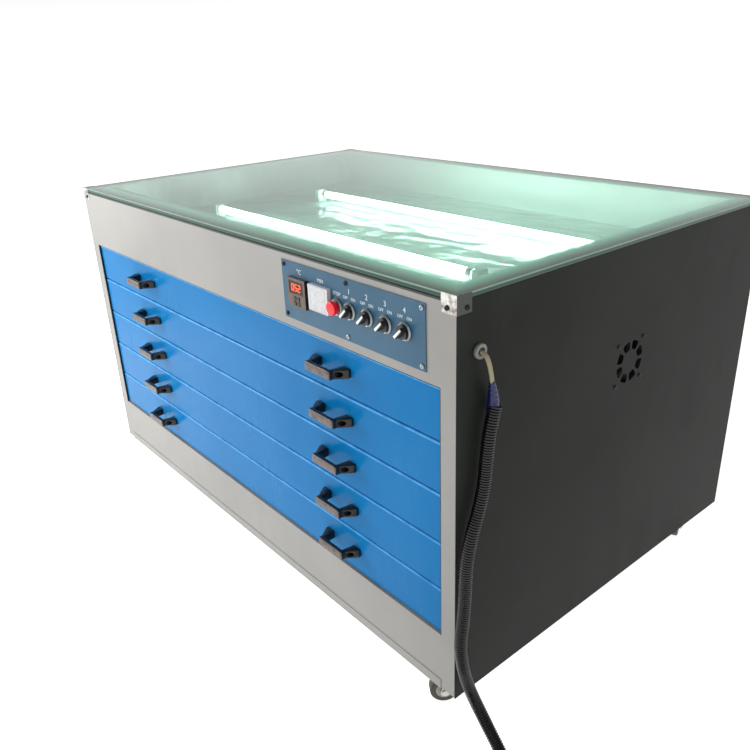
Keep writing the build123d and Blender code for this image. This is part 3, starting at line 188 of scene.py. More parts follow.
class CabinetSettings(bpy.types.PropertyGroup):
    grey: tint("Grey", "Enamel of stiles, fascia and kick panel", 149, 147, 143)
    blue: tint("Blue", "Enamel of the drawer fronts", 3, 112, 174)
    # Painted shade: the side and back panels are the light grey enamel, given a dark grey
    # that stands for their shadow
    charcoal: tint("Charcoal", "Enamel of the side and back panels", 29, 32, 29)
    zinc: tint("Zinc", "Plated sheet of trays, runners and pan", 168, 172, 172)
    peel: length("Orange peel", "Height of the ripple in the enamel", 0.00004)


class HandleSettings(bpy.types.PropertyGroup):
    span: length("Span", "Length over both feet", 0.095)
    bar: length("Bar", "Length of the gripped bar", 0.066)
    reach: length("Reach", "How far the bar stands off the drawer", 0.032)
    thickness: length("Thickness", "Thickness of the bar", 0.008)
    height: length("Height", "Height of the handle", 0.0155)
    foot: length("Foot", "Length of each foot", 0.02)
    foot_depth: length("Foot depth", "Thickness of each foot", 0.005)
    edge: length("Edge", "Rounding of the moulded edges", 0.0016)
    colour: tint("Colour", "Moulded plastic of the handles", 14, 13, 14)


class LightBoxSettings(bpy.types.PropertyGroup):
    white: tint("White", "Enamel inside the light box", 226, 240, 234)
    lamp: tint("Lamp", "Light of the tubes", 236, 255, 248)
    glow: number("Glow", "How brightly the tubes shine", 20)
    glass: tint("Glass", "Tint through the pane", 216, 247, 234)
    glass_edge: tint("Glass edge", "Green at the pane's edges", 30, 72, 58)
    # Painted light: the tray glows by itself, though it is no lamp
    tray_glow: number("Tray glow", "Lamp light that the tray spreads", 0.14)
    # Painted light: the rim glows by itself, though it is no lamp
    rim_glow: number("Rim glow", "Lamp light that the rim picks up", 1.1)
    rim: tint("Rim", "Enamel of the rim under the glass", 120, 168, 150)


class PanelSettings(bpy.types.PropertyGroup):
    plate: tint("Plate", "Enamel of the control plate", 44, 90, 118)
    print_colour: tint("Print", "Ink of the numbers and words", 222, 228, 230)
    display: tint("Display", "Light of the digits", 255, 84, 40)
    stop: tint("Stop", "Cap of the stop button", 250, 26, 40)
    digit: length("Digit", "Height of a lit digit", 0.013)


class LeadSettings(bpy.types.PropertyGroup):
    cable: length("Cable", "Width of the twin cable", 0.0075)
    conduit: length("Conduit", "Outer diameter of the conduit", 0.02)
    rib_pitch: length("Rib pitch", "Distance from rib to rib", 0.004)
    rib_depth: length("Rib depth", "Depth of the valleys between ribs", 0.0015)
    sides: IntProperty(name="Sides", description="Sides of the conduit's section",
                       default=16, min=8)
    sheath: tint("Sheath", "Sheath of the cable", 152, 142, 116)
    tape: tint("Tape", "Tape round the cable", 16, 24, 82)
    black: tint("Black", "Plastic of the conduit and plug", 15, 15, 15)


class StageSettings(bpy.types.PropertyGroup):
    floor: tint("Floor", "The plain floor", 238, 238, 236)
    glow: number("Floor glow", "Light of the floor, which keeps it pale", 0.95)
    ceiling: number("Ceiling", "Strength of the light from above", 0.42)
    key: number("Key", "Power of the large light, in watts", 23)
    fill: number("Fill", "Power of the fill light, in watts", 6)


class DryerSettings(bpy.types.PropertyGroup):
    cabinet: PointerProperty(type=CabinetSettings, name="Cabinet")
    handle: PointerProperty(type=HandleSettings, name="Handles")
    light_box: PointerProperty(type=LightBoxSettings, name="Light box")
    panel: PointerProperty(type=PanelSettings, name="Control panel")
    lead: PointerProperty(type=LeadSettings, name="Supply lead")
    stage: PointerProperty(type=StageSettings, name="Stage")


# Shader maths

class Link:
    """A node's output; arithmetic on it adds the Math nodes."""

    def __init__(self, finish, socket):
        self.finish = finish
        self.socket = socket

    def maths(self, operation, other=0.0):
        return self.finish.node("ShaderNodeMath", {"operation": operation},
                                {0: self, 1: other})

    __add__ = partialmethod(maths, "ADD")
    __sub__ = partialmethod(maths, "SUBTRACT")
    __mul__ = partialmethod(maths, "MULTIPLY")
    __pow__ = partialmethod(maths, "POWER")
    __lt__ = partialmethod(maths, "LESS_THAN")
    __gt__ = partialmethod(maths, "GREATER_THAN")
    __abs__ = partialmethod(maths, "ABSOLUTE")
    at_least = partialmethod(maths, "MAXIMUM")
    at_most = partialmethod(maths, "MINIMUM")

    def __rsub__(self, other):
        return self.finish.node("ShaderNodeMath", {"operation": "SUBTRACT"},
                                {0: other, 1: self})


class Finish:
    """A material in the making, on its Principled shader."""

    def __init__(self, name, **fixed):
        self.material = bpy.data.materials.new(name)
        self.material.use_nodes = True
        self.tree = self.material.node_tree
        self.shader = self.tree.nodes["Principled BSDF"]
        for socket, value in fixed.items():
            self.shader.inputs[socket.replace("_", " ")].default_value = value

    def node(self, kind, settings=None, sockets=None, output=0):
        """Adds a node: first its settings, or a ramp's stops, then its sockets."""
        made = self.tree.nodes.new(kind)
        for name, value in (settings or {}).items():
            if name == "stops":
                stops = made.color_ramp.elements
                for place, shade in value[2:]:
                    stops.new(place)
                for stop, (place, shade) in zip(stops, value):
                    stop.position = place
                    stop.color = (*shade, 1)
            else:
                setattr(made, name, value)
        for name, value in (sockets or {}).items():
            self.feed(made.inputs[name], value)
        return Link(self, made.outputs[output])

    def feed(self, socket, value):
        if isinstance(value, Link):
            self.tree.links.new(value.socket, socket)
        else:
            socket.default_value = (*value, 1) if socket.type == "RGBA" else value

    def give(self, socket, value):
        self.feed(self.shader.inputs[socket], value)

    def place(self):
        """The point on the object, in metres."""
        return self.node("ShaderNodeTexCoord", output="Object")

    def axes(self):
        """The X, Y and Z of the point on the object."""
        apart = self.node("ShaderNodeSeparateXYZ", sockets={0: self.place()})
        outputs = apart.socket.node.outputs
        return [Link(self, outputs[i]) for i in range(3)]

    def noise(self, scale, detail=3.0, roughness=0.5, stretch=(1, 1, 1), distortion=0.0):
        """Noise of about 1/scale metres, stretched along the axes."""
        where = self.node("ShaderNodeMapping", sockets={
            "Vector": self.place(), "Scale": stretch})
        return self.node("ShaderNodeTexNoise", sockets={
            "Vector": where, "Scale": scale, "Detail": detail, "Roughness": roughness,
            "Distortion": distortion})

    def between(self, value, low, high, to_low=0.0, to_high=1.0):
        """The value, from low to high, brought to 0 to 1 or to the other range."""
        return self.node("ShaderNodeMapRange", {"clamp": True}, {
            "Value": value, "From Min": low, "From Max": high, "To Min": to_low,
            "To Max": to_high})

    def mix(self, factor, first, second):
        """The first colour going over to the second as the factor goes from 0 to 1."""
        return self.node("ShaderNodeMix", {"data_type": "RGBA"},
                         {0: factor, 6: first, 7: second}, output=2)

    def paint(self, share, first, second, socket="Base Color"):
        """Gives the shader a colour that goes from the first to the second."""
        self.give(socket, self.mix(share, first, second))

    def bump(self, height, distance):
        """Relief of that height, in metres, on the whole surface."""
        self.give("Normal", self.node("ShaderNodeBump", sockets={
            "Height": height, "Distance": distance, "Strength": 1.0}))

    def over(self, share, colour):
        """Lays a colour over the base colour, by a share from 0 to 1."""
        base = Link(self, self.shader.inputs["Base Color"].links[0].from_socket)
        self.paint(share, base, colour)


def wear(finish, spread, share):
    """Scattered small marks that cover about that share of the surface, 0 to 1."""
    return finish.between(finish.noise(1 / spread, 6, 0.62), 0.72 - share, 0.76 - share)


def enamel(name, colour, roughness=0.38, peel=0.00004, mottle=0.05, dust=0.08, gloss=0.4):
    """Sprayed enamel: orange peel, faint mottling, handling smears and fine dust."""
    finish = Finish(name, Specular_IOR_Level=gloss)
    cloud = finish.noise(3.5, 3, 0.55)
    smear = finish.between(finish.noise(14, 4, 0.6, stretch=(1, 1, 0.35)), 0.5, 0.72)
    specks = wear(finish, 0.004, 0.06)
    darker = scaled(colour, 1 - 2 * mottle)
    lighter = tuple(min(1, c) for c in scaled(colour, 1 + mottle, 0.006))
    base = finish.mix(finish.between(cloud, 0.32, 0.68), darker, lighter)
    dusty = scaled(colour, 0.82, 0.18 * 0.42)
    finish.paint(smear * dust * 4 + specks * dust, base, dusty)
    finish.give("Roughness", cloud * 0.10 + smear * 0.12 + (roughness - 0.06))
    finish.bump(finish.noise(520, 2, 0.5) + finish.noise(60, 1, 0.4) * 0.8, peel)
    return finish


def moulded(name, colour, roughness=0.42, grain=0.00003, scuff=0.3):
    """Moulded plastic: fine grain, soft sheen, pale scuffs."""
    finish = Finish(name, Specular_IOR_Level=0.5)
    patches = finish.between(finish.noise(90, 4, 0.6), 0.45, 0.75)
    scuffs = wear(finish, 0.006, 0.12)
    finish.paint(scuffs * scuff, colour, scaled(colour, 0.7, 0.06))
    finish.give("Roughness", patches * 0.16 + scuffs * 0.1 + (roughness - 0.06))
    finish.bump(finish.noise(2600, 2, 0.5), grain)
    return finish


def plated(name, colour, roughness=0.34, crinkle=0.0, tarnish=0.2):
    """Plated steel: grained or crinkled, with dull clouds and small dark spots."""
    finish = Finish(name, Metallic=1.0)
    streaks = finish.noise(260, 4, 0.65)
    clouds = finish.between(finish.noise(22, 4, 0.6), 0.4, 0.7)
    spots = wear(finish, 0.003, 0.03)
    finish.paint(clouds * tarnish + spots * 0.5, colour, scaled(colour, 0.62))
    finish.give("Roughness", streaks * 0.18 + clouds * 0.14 + (roughness - 0.12))
    relief = streaks * 0.3
    if crinkle:
        relief = relief + finish.noise(95, 3, 0.55, distortion=0.8) * crinkle
    finish.bump(relief, 0.0004)
    return finish


# Modelling steps shared by the pieces

def choose(*pieces):
    """Selects these pieces and no others; the first becomes the active one."""
    bpy.ops.object.select_all(action="DESELECT")
    for piece in pieces:
        piece.select_set(True)
    if pieces:
        bpy.context.view_layer.objects.active = pieces[0]


def placed(name, data):
    """A new object with that data, in the scene."""
    thing = bpy.data.objects.new(name, data)
    bpy.context.scene.collection.objects.link(thing)
    return thing


@contextlib.contextmanager
def shaping(piece):
    """Edit mode on one piece, in face mode, with nothing selected."""
    choose(piece)
    bpy.ops.object.mode_set(mode="EDIT")
    bpy.ops.mesh.select_mode(type="FACE")
    bpy.ops.mesh.select_all(action="DESELECT")
    try:
        yield
    finally:
        bpy.ops.object.mode_set(mode="OBJECT")


def pick(piece, test):
    """Selects the faces whose centre and normal pass the test, and no others."""
    mesh = bmesh.from_edit_mesh(piece.data)
    for face in mesh.faces:
        face.select_set(bool(test(face.calc_center_median(), face.normal)))
    bmesh.update_edit_mesh(piece.data)


def pull(x=0.0, y=0.0, z=0.0):
    bpy.ops.mesh.extrude_region_move(TRANSFORM_OT_translate={"value": (x, y, z)})


def resize(x=1.0, y=1.0, z=1.0, centre=(0, 0, 0)):
    bpy.ops.transform.resize(value=(x, y, z), center_override=centre)


def block(size, centre=(0, 0, 0)):
    """A cube primitive brought to its size and place, ready to be shaped."""
    choose()
    bpy.ops.mesh.primitive_cube_add(size=1, location=centre)
    piece = bpy.context.object
    piece.scale = size
    bpy.ops.object.transform_apply(location=True, rotation=True, scale=True)
    return piece


def drum(radius, depth, centre=(0, 0, 0), axis="Y", sides=32):
    """A cylinder primitive along the X or Y axis, ready to be shaped."""
    choose()
    turn = {"X": (0, math.pi / 2, 0), "Y": (math.pi / 2, 0, 0)}[axis]
    bpy.ops.mesh.primitive_cylinder_add(vertices=sides, radius=radius, depth=depth,
                                        location=centre, rotation=turn)
    bpy.ops.object.transform_apply(location=True, rotation=True, scale=True)
    return bpy.context.object


def applied(piece, kind, **settings):
    """Puts a modifier on the piece and applies it."""
    choose(piece)
    modifier = piece.modifiers.new(kind.lower(), kind)
    for name, value in settings.items():
        setattr(modifier, name, value)
    bpy.ops.object.modifier_apply(modifier=modifier.name)


def bevelled(piece, width, segments=2):
    """Rounds the piece's edges, all but the flattest."""
    applied(piece, "BEVEL", width=width, segments=segments, limit_method="ANGLE",
            angle_limit=0.6)
    bpy.ops.object.shade_smooth_by_angle(angle=math.radians(32))
    return piece


def cut(piece, tool):
    """Takes the tool's shape out of the piece and removes the tool."""
    applied(piece, "BOOLEAN", operation="DIFFERENCE", solver="EXACT", object=tool)
    bpy.data.objects.remove(tool)


def cross_slot(head, depth, y):
    """Cuts a cross into a screw's head, centred on that Y."""
    for size in ((SLOT_LENGTH, depth, SLOT_WIDTH), (SLOT_WIDTH, depth, SLOT_LENGTH)):
        cut(head, block(size, (0, y, 0)))


def duplicate(piece):
    """A copy of the piece with a mesh of its own."""
    other = piece.copy()
    other.data = piece.data.copy()
    bpy.context.scene.collection.objects.link(other)
    return other


def copied(piece, moves):
    """The piece itself and copies of it, each moved by its own vector."""
    copies = [piece] + [duplicate(piece) for _ in moves[1:]]
    for copy, move in zip(copies, moves):
        copy.data.transform(Matrix.Translation(Vector(move)))
    return copies


def joined(pieces):
    """The pieces as one object."""
    choose(*pieces)
    bpy.ops.object.join()
    return pieces[0]


def coated(thing, finish):
    """Gives a piece or a CAD node one finish all over."""
    thing.data.materials.clear()
    thing.data.materials.append(finish.material)


def dress(finish, *names):
    """Gives the named CAD nodes one finish all over."""
    for name in names:
        coated(node[name], finish)


def fitted(piece, name, body, slot, finish, *stands_for):
    """Names a finished piece, sets it on its body and gives it its finish. The slot is not
    used.
    """
    piece.name = name
    piece.data.name = name
    coated(piece, finish)
    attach(piece, body)
    if stands_for:
        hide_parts(*stands_for)


def skin(name, rings):
    """The mesh of a closed tube through rings that have as many points each."""
    count = len(rings[0])
    faces = [
        (r * count + i, r * count + (i + 1) % count,
         (r + 1) * count + (i + 1) % count, (r + 1) * count + i)
        for r in range(len(rings) - 1) for i in range(count)
    ]
    faces.append(tuple(reversed(range(count))))
    faces.append(tuple(range((len(rings) - 1) * count, len(rings) * count)))
    mesh = bpy.data.meshes.new(name)
    mesh.from_pydata([tuple(p) for ring in rings for p in ring], [], faces)
    mesh.validate()
    mesh.update()
    piece = placed(name, mesh)
    with shaping(piece):
        bpy.ops.mesh.select_all(action="SELECT")
        bpy.ops.mesh.normals_make_consistent(inside=False)
    bpy.ops.object.shade_smooth_by_angle(angle=math.radians(50))
    return piece


def route_line(name, route):
    """The smooth line of a route: points read from its NURBS spline."""
    curve = bpy.data.curves.new(name, "CURVE")
    curve.dimensions = "3D"
    curve.resolution_u = 10
    spline = curve.splines.new("NURBS")
    spline.points.add(len(route) - 1)
    for point, place in zip(spline.points, route):
        point.co = (*place, 1)
    spline.order_u = 3
    spline.use_endpoint_u = True
    holder = placed(name, curve)
    bpy.context.view_layer.update()
    line = bpy.data.meshes.new_from_object(holder.evaluated_get(
        bpy.context.evaluated_depsgraph_get()))
    points = [v.co.copy() for v in line.vertices]
    bpy.data.objects.remove(holder)
    bpy.data.curves.remove(curve)
    bpy.data.meshes.remove(line)
    return points


class Track:
    """A line of points with its length, and steady cross-sections along it."""

    def __init__(self, points):
        self.points = points
        self.along = [0.0]
        for a, b in zip(points, points[1:]):
            self.along.append(self.along[-1] + (b - a).length)
        self.length = self.along[-1]
        self.sides = []
        side = Vector((0, 1, 0))
        for i in range(len(points)):
            ahead = self.heading(i)
            side = (side - ahead * side.dot(ahead)).normalized()
            self.sides.append(side)

    def heading(self, i):
        before, after = max(i - 1, 0), min(i + 1, len(self.points) - 1)
        return (self.points[after] - self.points[before]).normalized()

    def section(self, distance):
        """The point at a distance along the line, and its two crosswise axes."""
        distance = min(max(distance, 0.0), self.length)
        i = min(bisect.bisect_right(self.along, distance), len(self.along) - 1) - 1
        share = (distance - self.along[i]) / max(self.along[i + 1] - self.along[i], 1e-9)
        place = self.points[i].lerp(self.points[i + 1], share)
        ahead = self.heading(i).lerp(self.heading(i + 1), share).normalized()
        side = self.sides[i].lerp(self.sides[i + 1], share)
        side = (side - ahead * side.dot(ahead)).normalized()
        return place, side, ahead.cross(side)

    def ring(self, distance, radius, sides):
        """A ring of points round the line; radius may depend on the angle."""
        place, side, up = self.section(distance)
        ring = []
        for i in range(sides):
            angle = 2 * math.pi * i / sides
            reach = radius(angle) if callable(radius) else radius
            ring.append(place + side * (reach * math.cos(angle))
                        + up * (reach * math.sin(angle)))
        return ring


# The stage

class DRYER_OT_stage(bpy.types.Operator):
    """Pale floor, soft studio light and the camera at the photograph's angle"""
    bl_idname = "dryer.stage"
    bl_label = "Stage"

    def execute(self, context):
        settings = context.scene.dryer.stage
        self.floor(settings)
        self.studio(settings, context.scene)
        for name, power, size, place in (
                ("key light", settings.key, 0.9, (-1.3, -1.3, 1.0)),
                ("fill light", settings.fill, 2.0, (2.2, -2.6, 2.2))):
            lamp = bpy.data.lights.new(name, "AREA")
            lamp.energy = power
            lamp.size = size
            light = placed(name, lamp)
            light.location = place
            aim = LIGHTS_AIM - Vector(place)
            light.rotation_euler = aim.to_track_quat("-Z", "Y").to_euler()
        context.scene.view_settings.view_transform = "Standard"

        lens = bpy.data.cameras.new("camera")
        lens.lens = FOCAL_LENGTH
        lens.sensor_width = SENSOR_WIDTH
        camera = placed("camera", lens)
        turn = Matrix((CAMERA_RIGHT, CAMERA_UP, -CAMERA_AHEAD)).transposed().to_4x4()
        camera.matrix_world = Matrix.Translation(CAMERA_PLACE) @ turn
        context.scene.camera = camera
        return {"FINISHED"}

    def floor(self, settings):
        """A wide pale floor that glows enough to meet the backdrop without a line."""
        choose()
        bpy.ops.mesh.primitive_grid_add(x_subdivisions=8, y_subdivisions=8, size=40)
        floor = bpy.context.object
        floor.name = "floor"
        tone = settings.floor
        paper = Finish("pale floor", Specular_IOR_Level=0.2, Emission_Color=(*tone, 1),
                       Emission_Strength=settings.glow)
        shade = paper.between(paper.noise(0.8, 3, 0.5), 0.3, 0.7)
        paper.paint(shade, scaled(tone, 0.985), tone)
        paper.give("Roughness", paper.noise(6, 3, 0.5) * 0.1 + 0.6)
        coated(floor, paper)

    def studio(self, settings, scene):
        """White light all round, weaker from above, by the direction's height."""
        world = bpy.data.worlds.new("studio")
        world.use_nodes = True
        tree = world.node_tree
        apart = tree.nodes.new("ShaderNodeSeparateXYZ")
        tree.links.new(tree.nodes.new("ShaderNodeTexCoord").outputs["Generated"],
                       apart.inputs[0])
        fade = tree.nodes.new("ShaderNodeMapRange")
        for socket, value in (("From Min", FADE_FROM), ("From Max", FADE_TO),
                              ("To Min", 1.0), ("To Max", settings.ceiling)):
            fade.inputs[socket].default_value = value
        tree.links.new(apart.outputs["Z"], fade.inputs["Value"])
        tree.links.new(fade.outputs[0], tree.nodes["Background"].inputs["Strength"])
        tree.nodes["Background"].inputs["Color"].default_value = (1, 1, 1, 1)
        scene.world = world


# The supply lead

def coil_route(start, before):
    """The coil's turns on the floor, spiralling inwards from the route's last points."""
    place = Vector(start)
    ahead = (place - Vector(before)).normalized()
    place = place + ahead * COIL_STRAIGHT
    points = [tuple(place)]
    for radius in COIL_RADII:
        inward = Vector((ahead.y, -ahead.x, 0))
        centre = place + inward * radius
        for i in range(COIL_POINTS):
            angle = math.pi * (i + 0.5) / COIL_POINTS
            spoke = ahead * math.sin(angle) - inward * math.cos(angle)
            points.append(tuple(centre + spoke * (radius * COIL_SPREAD)))
        place = centre + inward * radius
        ahead = -ahead
    return points + [tuple(place), tuple(place + ahead * COIL_STRAIGHT)]


class DRYER_OT_lead(bpy.types.Operator):
    """Twin cable out of the gland, tape round its end, and the corrugated conduit"""
    bl_idname = "dryer.lead"
    bl_label = "Supply lead"

    def execute(self, context):
        settings = context.scene.dryer.lead
        core = settings.cable * CORE_SHARE
        apart = settings.cable / 2 - core

        def twin(angle):
            """The cable's radius at an angle: two round cores side by side."""
            return (apart * abs(math.cos(angle))
                    + math.sqrt(core ** 2 - (apart * math.sin(angle)) ** 2))

        cable_line = route_line("cable route", CABLE_ROUTE)
        track = Track(cable_line)
        steps = round(track.length / CABLE_STEP)
        cable = skin("twin_cable", [track.ring(track.length * i / steps, twin, CABLE_SIDES)
                                    for i in range(steps + 1)])
        sheath = moulded("cable sheath", settings.sheath, 0.5, 0.00006, 0.4)
        fitted(cable, "twin_cable", "cabinet", "cable_grey", sheath, "supply_cable")

        # Tape wound round the cable's end and over the conduit's mouth, in lapping turns
        stretch = track.length - TAPE_MARGIN - TAPE_FOOT
        steps = TAPE_TURNS * 12
        rings = []
        for i in range(steps + 1):
            share = i / steps
            lap = 0.00035 * (share * TAPE_TURNS % 1)
            swell = 0.0037 + 0.0046 * min(1.0, share * 1.5) ** 0.8
            ripple = 0.0003 * math.sin(share * 41)
            rings.append(track.ring(TAPE_FOOT + stretch * share, swell + lap + ripple,
                                    CABLE_SIDES))
        tape = skin("tape_wrap", rings)
        fitted(tape, "tape_wrap", "cabinet", "cable_grey",
               moulded("tape", settings.tape, 0.22, 0.00006, 0.05))

        route = CONDUIT_ROUTE + coil_route(CONDUIT_ROUTE[-1], CONDUIT_ROUTE[-2])
        conduit_line = route_line("conduit route", route)
        track = Track(conduit_line)
        outer = settings.conduit / 2
        valley = outer - settings.rib_depth
        ribs = round(track.length / settings.rib_pitch)
        pitch = track.length / ribs
        rings = [track.ring(0.0, valley, settings.sides)]
        for rib in range(ribs):
            for share, radius in ((0.22, outer), (0.72, outer), (1.0, valley)):
                rings.append(track.ring((rib + share) * pitch, radius, settings.sides))
        conduit = skin("corrugated_conduit", rings)
        black = moulded("conduit black", settings.black, 0.3, 0.00002, 0.15)
        fitted(conduit, "corrugated_conduit", "cabinet", "conduit_black", black,
               "conduit", "conduit_coil")

        gland = moulded("gland grey", rgb(96, 98, 98), 0.45)
        y, z = gland.axes()[1:]
        exit_y, exit_z = CABLE_ROUTE[0][1:]
        mouth = gland.between(((y - exit_y) ** 2 + (z - exit_z) ** 2) ** 0.5,
                              0.0062, 0.0066, 1, 0)
        gland.paint(mouth, rgb(124, 126, 118), rgb(26, 26, 24))
        dress(gland, "gland")
        plug = moulded("plug black", settings.black, 0.42, 0.00005, 0.2)
        x, y = plug.axes()[:2]
        end = conduit_line[-1]
        ahead = track.heading(len(conduit_line) - 1)
        reach = (x - end.x) * ahead.x + (y - end.y) * ahead.y
        pins = plug.between(reach, PINS_FROM - 0.0002, PINS_FROM + 0.0002)
        plug.paint(pins, settings.black, rgb(196, 178, 122))
        plug.give("Metallic", pins)
        dress(plug, "plug")

        return {"FINISHED"}


# The cabinet

class DRYER_OT_cabinet(bpy.types.Operator):
    """Enamel and plated finishes of the cabinet's sheet metal"""
    bl_idname = "dryer.cabinet"
    bl_label = "Cabinet"

    def execute(self, context):
        settings = context.scene.dryer.cabinet
        grey = enamel("light grey enamel", settings.grey, 0.42, settings.peel)
        dress(grey, "corner_posts", "upper_fascia", "kick_panel")
        x, y, z = grey.axes()
        # Painted shade along the edges of the drawers' opening, and painted shade along the
        # fascia's top, under the rim
        out = (abs(x) - OPENING_HALF).at_least(z - fascia_low.z)
        opening_shade = (abs(out - 0.0006) < 0.0008) * (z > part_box("kick_panel")[1].z) * (y < 0.0)
        grey.over(opening_shade, rgb(22, 26, 30))
        # A dark band along the top of the fascia: painted shade under the rim
        fascia_top_shade = grey.between(z, fascia_high.z - 0.0032, fascia_high.z - 0.0024)
        grey.over(fascia_top_shade, rgb(48, 52, 48))
        # The side and back panels get painted shade: a dark grey in place of the light grey
        # enamel in shadow
        charcoal = enamel("charcoal enamel", settings.charcoal, 0.5, settings.peel,
                          0.08, 0.03, 0.1)
        # A black band along the foot of the side and back panels: painted shadow
        height = charcoal.axes()[2] + charcoal.noise(30, 3, 0.6) * 0.003
        foot = charcoal.between(height, panel_foot + 0.003, panel_foot + 0.0055, 1, 0)
        charcoal.over(foot, rgb(10, 10, 9))
        dress(charcoal, "left_side_panel", "right_side_panel", "back_panel")
        dress(plated("zinc sheet", settings.zinc, 0.42), "bottom_pan", "cabinet_runners")
        dress(plated("heater steel", rgb(120, 112, 104), 0.5, tarnish=0.5),
              "heater_elements")
        return {"FINISHED"}


class DRYER_OT_screws(bpy.types.Operator):
    """Cross-head screws of the clips, the control plate and the fan"""
    bl_idname = "dryer.screws"
    bl_label = "Screws"

    def execute(self, context):
        screw = self.screw()
        for name, places, finish in (
                ("black_screws", DARK_SCREWS,
                 plated("black screw steel", rgb(58, 58, 60), 0.4)),
                ("bright_screws", BRIGHT_SCREWS,
                 plated("bright screw steel", rgb(172, 176, 178), 0.3))):
            copies = []
            for i, (seat, way) in enumerate(places):
                copy = duplicate(screw)
                turn = FRONT.rotation_difference(way).to_matrix().to_4x4()
                spin = Matrix.Rotation(i * 0.7, 4, FRONT)
                copy.data.transform(Matrix.Translation(Vector(seat)) @ turn @ spin)
                copies.append(copy)
            fitted(joined(copies), name, "cabinet", "screw_steel", finish,
                   "pan_head_screws")
        bpy.data.objects.remove(screw)
        return {"FINISHED"}

    def screw(self):
        """One pan-head screw at the origin, its head towards the front."""
        head = drum(0.0038, 0.0012, (0, -0.0006, 0), sides=24)
        with shaping(head):
            pick(head, lambda c, n: n.y < -0.9)
            for rise, share in ((0.0007, 0.86), (0.0003, 0.6)):
                pull(0, -rise, 0)
                resize(share, 1, share)
        cross_slot(head, 0.0024, -0.0022)
        return bevelled(head, 0.00012, 1)


class DRYER_OT_drawers(bpy.types.Operator):
    """Blue glossy enamel of the drawer fronts and the plated trays"""
    bl_idname = "dryer.drawers"
    bl_label = "Drawers"

    def execute(self, context):
        settings = context.scene.dryer.cabinet
        zinc = plated("drawer zinc", settings.zinc, 0.4)
        for i in range(1, DRAWERS + 1):
            blue = enamel(f"blue enamel {i}", settings.blue, 0.2, settings.peel * 1.5,
                          0.03, 0.02, 0.07)
            # A lighter blue band along the top of each front: a painted highlight on its
            # rounded edge, broken into patches
            highlight_patches = blue.between(blue.noise(40, 3, 0.6), 0.3, 0.6, 0.4, 1.0)
            top = min(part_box(f"drawer_{i}_front")[1].z, fascia_low.z)
            patchy_light = blue.between(blue.axes()[2], top - 0.0036, top - 0.0028) * highlight_patches
            blue.over(patchy_light, rgb(84, 168, 232))
            dress(blue, f"drawer_{i}_front")
            dress(zinc, f"drawer_{i}_tray")
        return {"FINISHED"}


class DRYER_OT_handles(bpy.types.Operator):
    """Moulded bridge handles with their screws, two on each drawer"""
    bl_idname = "dryer.handles"
    bl_label = "Handles"

    def execute(self, context):
        settings = context.scene.dryer.handle
        black = moulded("handle black", settings.colour, 0.32, 0.00004, 0.2)
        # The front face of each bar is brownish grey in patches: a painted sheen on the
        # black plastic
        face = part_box("drawer_1_handles")[0].y
        lit_bar_face = black.between(black.axes()[1], face + 0.0004, face + 0.0008, 1, 0)
        patchy_light = black.between(black.noise(60, 3, 0.6), 0.25, 0.55)
        black.over(lit_bar_face * patchy_light, rgb(92, 78, 70))
        bright = plated("handle screw steel", rgb(206, 208, 208), 0.25)
        foot_centre = (settings.span - settings.foot) / 2
        handle = self.bridge(settings, foot_centre)
        screw = self.screw()
        for i in range(1, DRAWERS + 1):
            low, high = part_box(f"drawer_{i}_handles")
            middle = (low.z + high.z) / 2
            last = i == DRAWERS
            pair = copied(handle if last else duplicate(handle),
                          [(x, high.y, middle) for x in HANDLE_CENTRES])
            fitted(joined(pair), f"drawer_{i}_handle_pair", f"drawer_{i}", "handle_black",
                   black, f"drawer_{i}_handles")
            heads = copied(screw if last else duplicate(screw),
                           [(x + side * foot_centre, high.y, middle)
                            for x in HANDLE_CENTRES for side in (-1, 1)])
            fitted(joined(heads), f"drawer_{i}_handle_screws", f"drawer_{i}", "screw_steel",
                   bright)
        return {"FINISHED"}

    def bridge(self, settings, foot_centre):
        """One handle round the origin, its feet on the plane Y = 0."""
        reach, thick, foot = settings.reach, settings.thickness, settings.foot_depth
        bar = block((settings.bar, thick, settings.height), (0, thick / 2 - reach, 0))
        leg = settings.bar / 2 - thick
        leg_centre = settings.bar / 2 - thick / 2
        with shaping(bar):
            for x in (-leg, leg):
                bpy.ops.mesh.select_all(action="SELECT")
                bpy.ops.mesh.bisect(plane_co=(x, 0, 0), plane_no=(1, 0, 0))
            for side in (-1, 1):
                pick(bar, lambda c, n, s=side: n.y > 0.9 and c.x * s > leg)
                pull((foot_centre - leg_centre) * side, reach - thick - foot, 0)
                resize(settings.foot / thick, centre=(foot_centre * side, 0, 0))
                pull(0, foot, 0)
        for side in (-1, 1):
            cut(bar, drum(WELL_RADIUS, 0.04, (side * foot_centre, -0.0225, 0)))
        return bevelled(bar, settings.edge, 3)

    def screw(self):
        """One cross-head screw whose head sits in a handle's well."""
        head = drum(0.0036, 0.002, (0, -0.0034, 0), sides=24)
        with shaping(head):
            pick(head, lambda c, n: n.y < -0.9)
            bpy.ops.mesh.inset(thickness=0.0009)
            pull(0, -0.0005, 0)
            resize(0.86, 1, 0.86)
        cross_slot(head, 0.0014, -0.0049)
        return bevelled(head, 0.00025)


# The light box

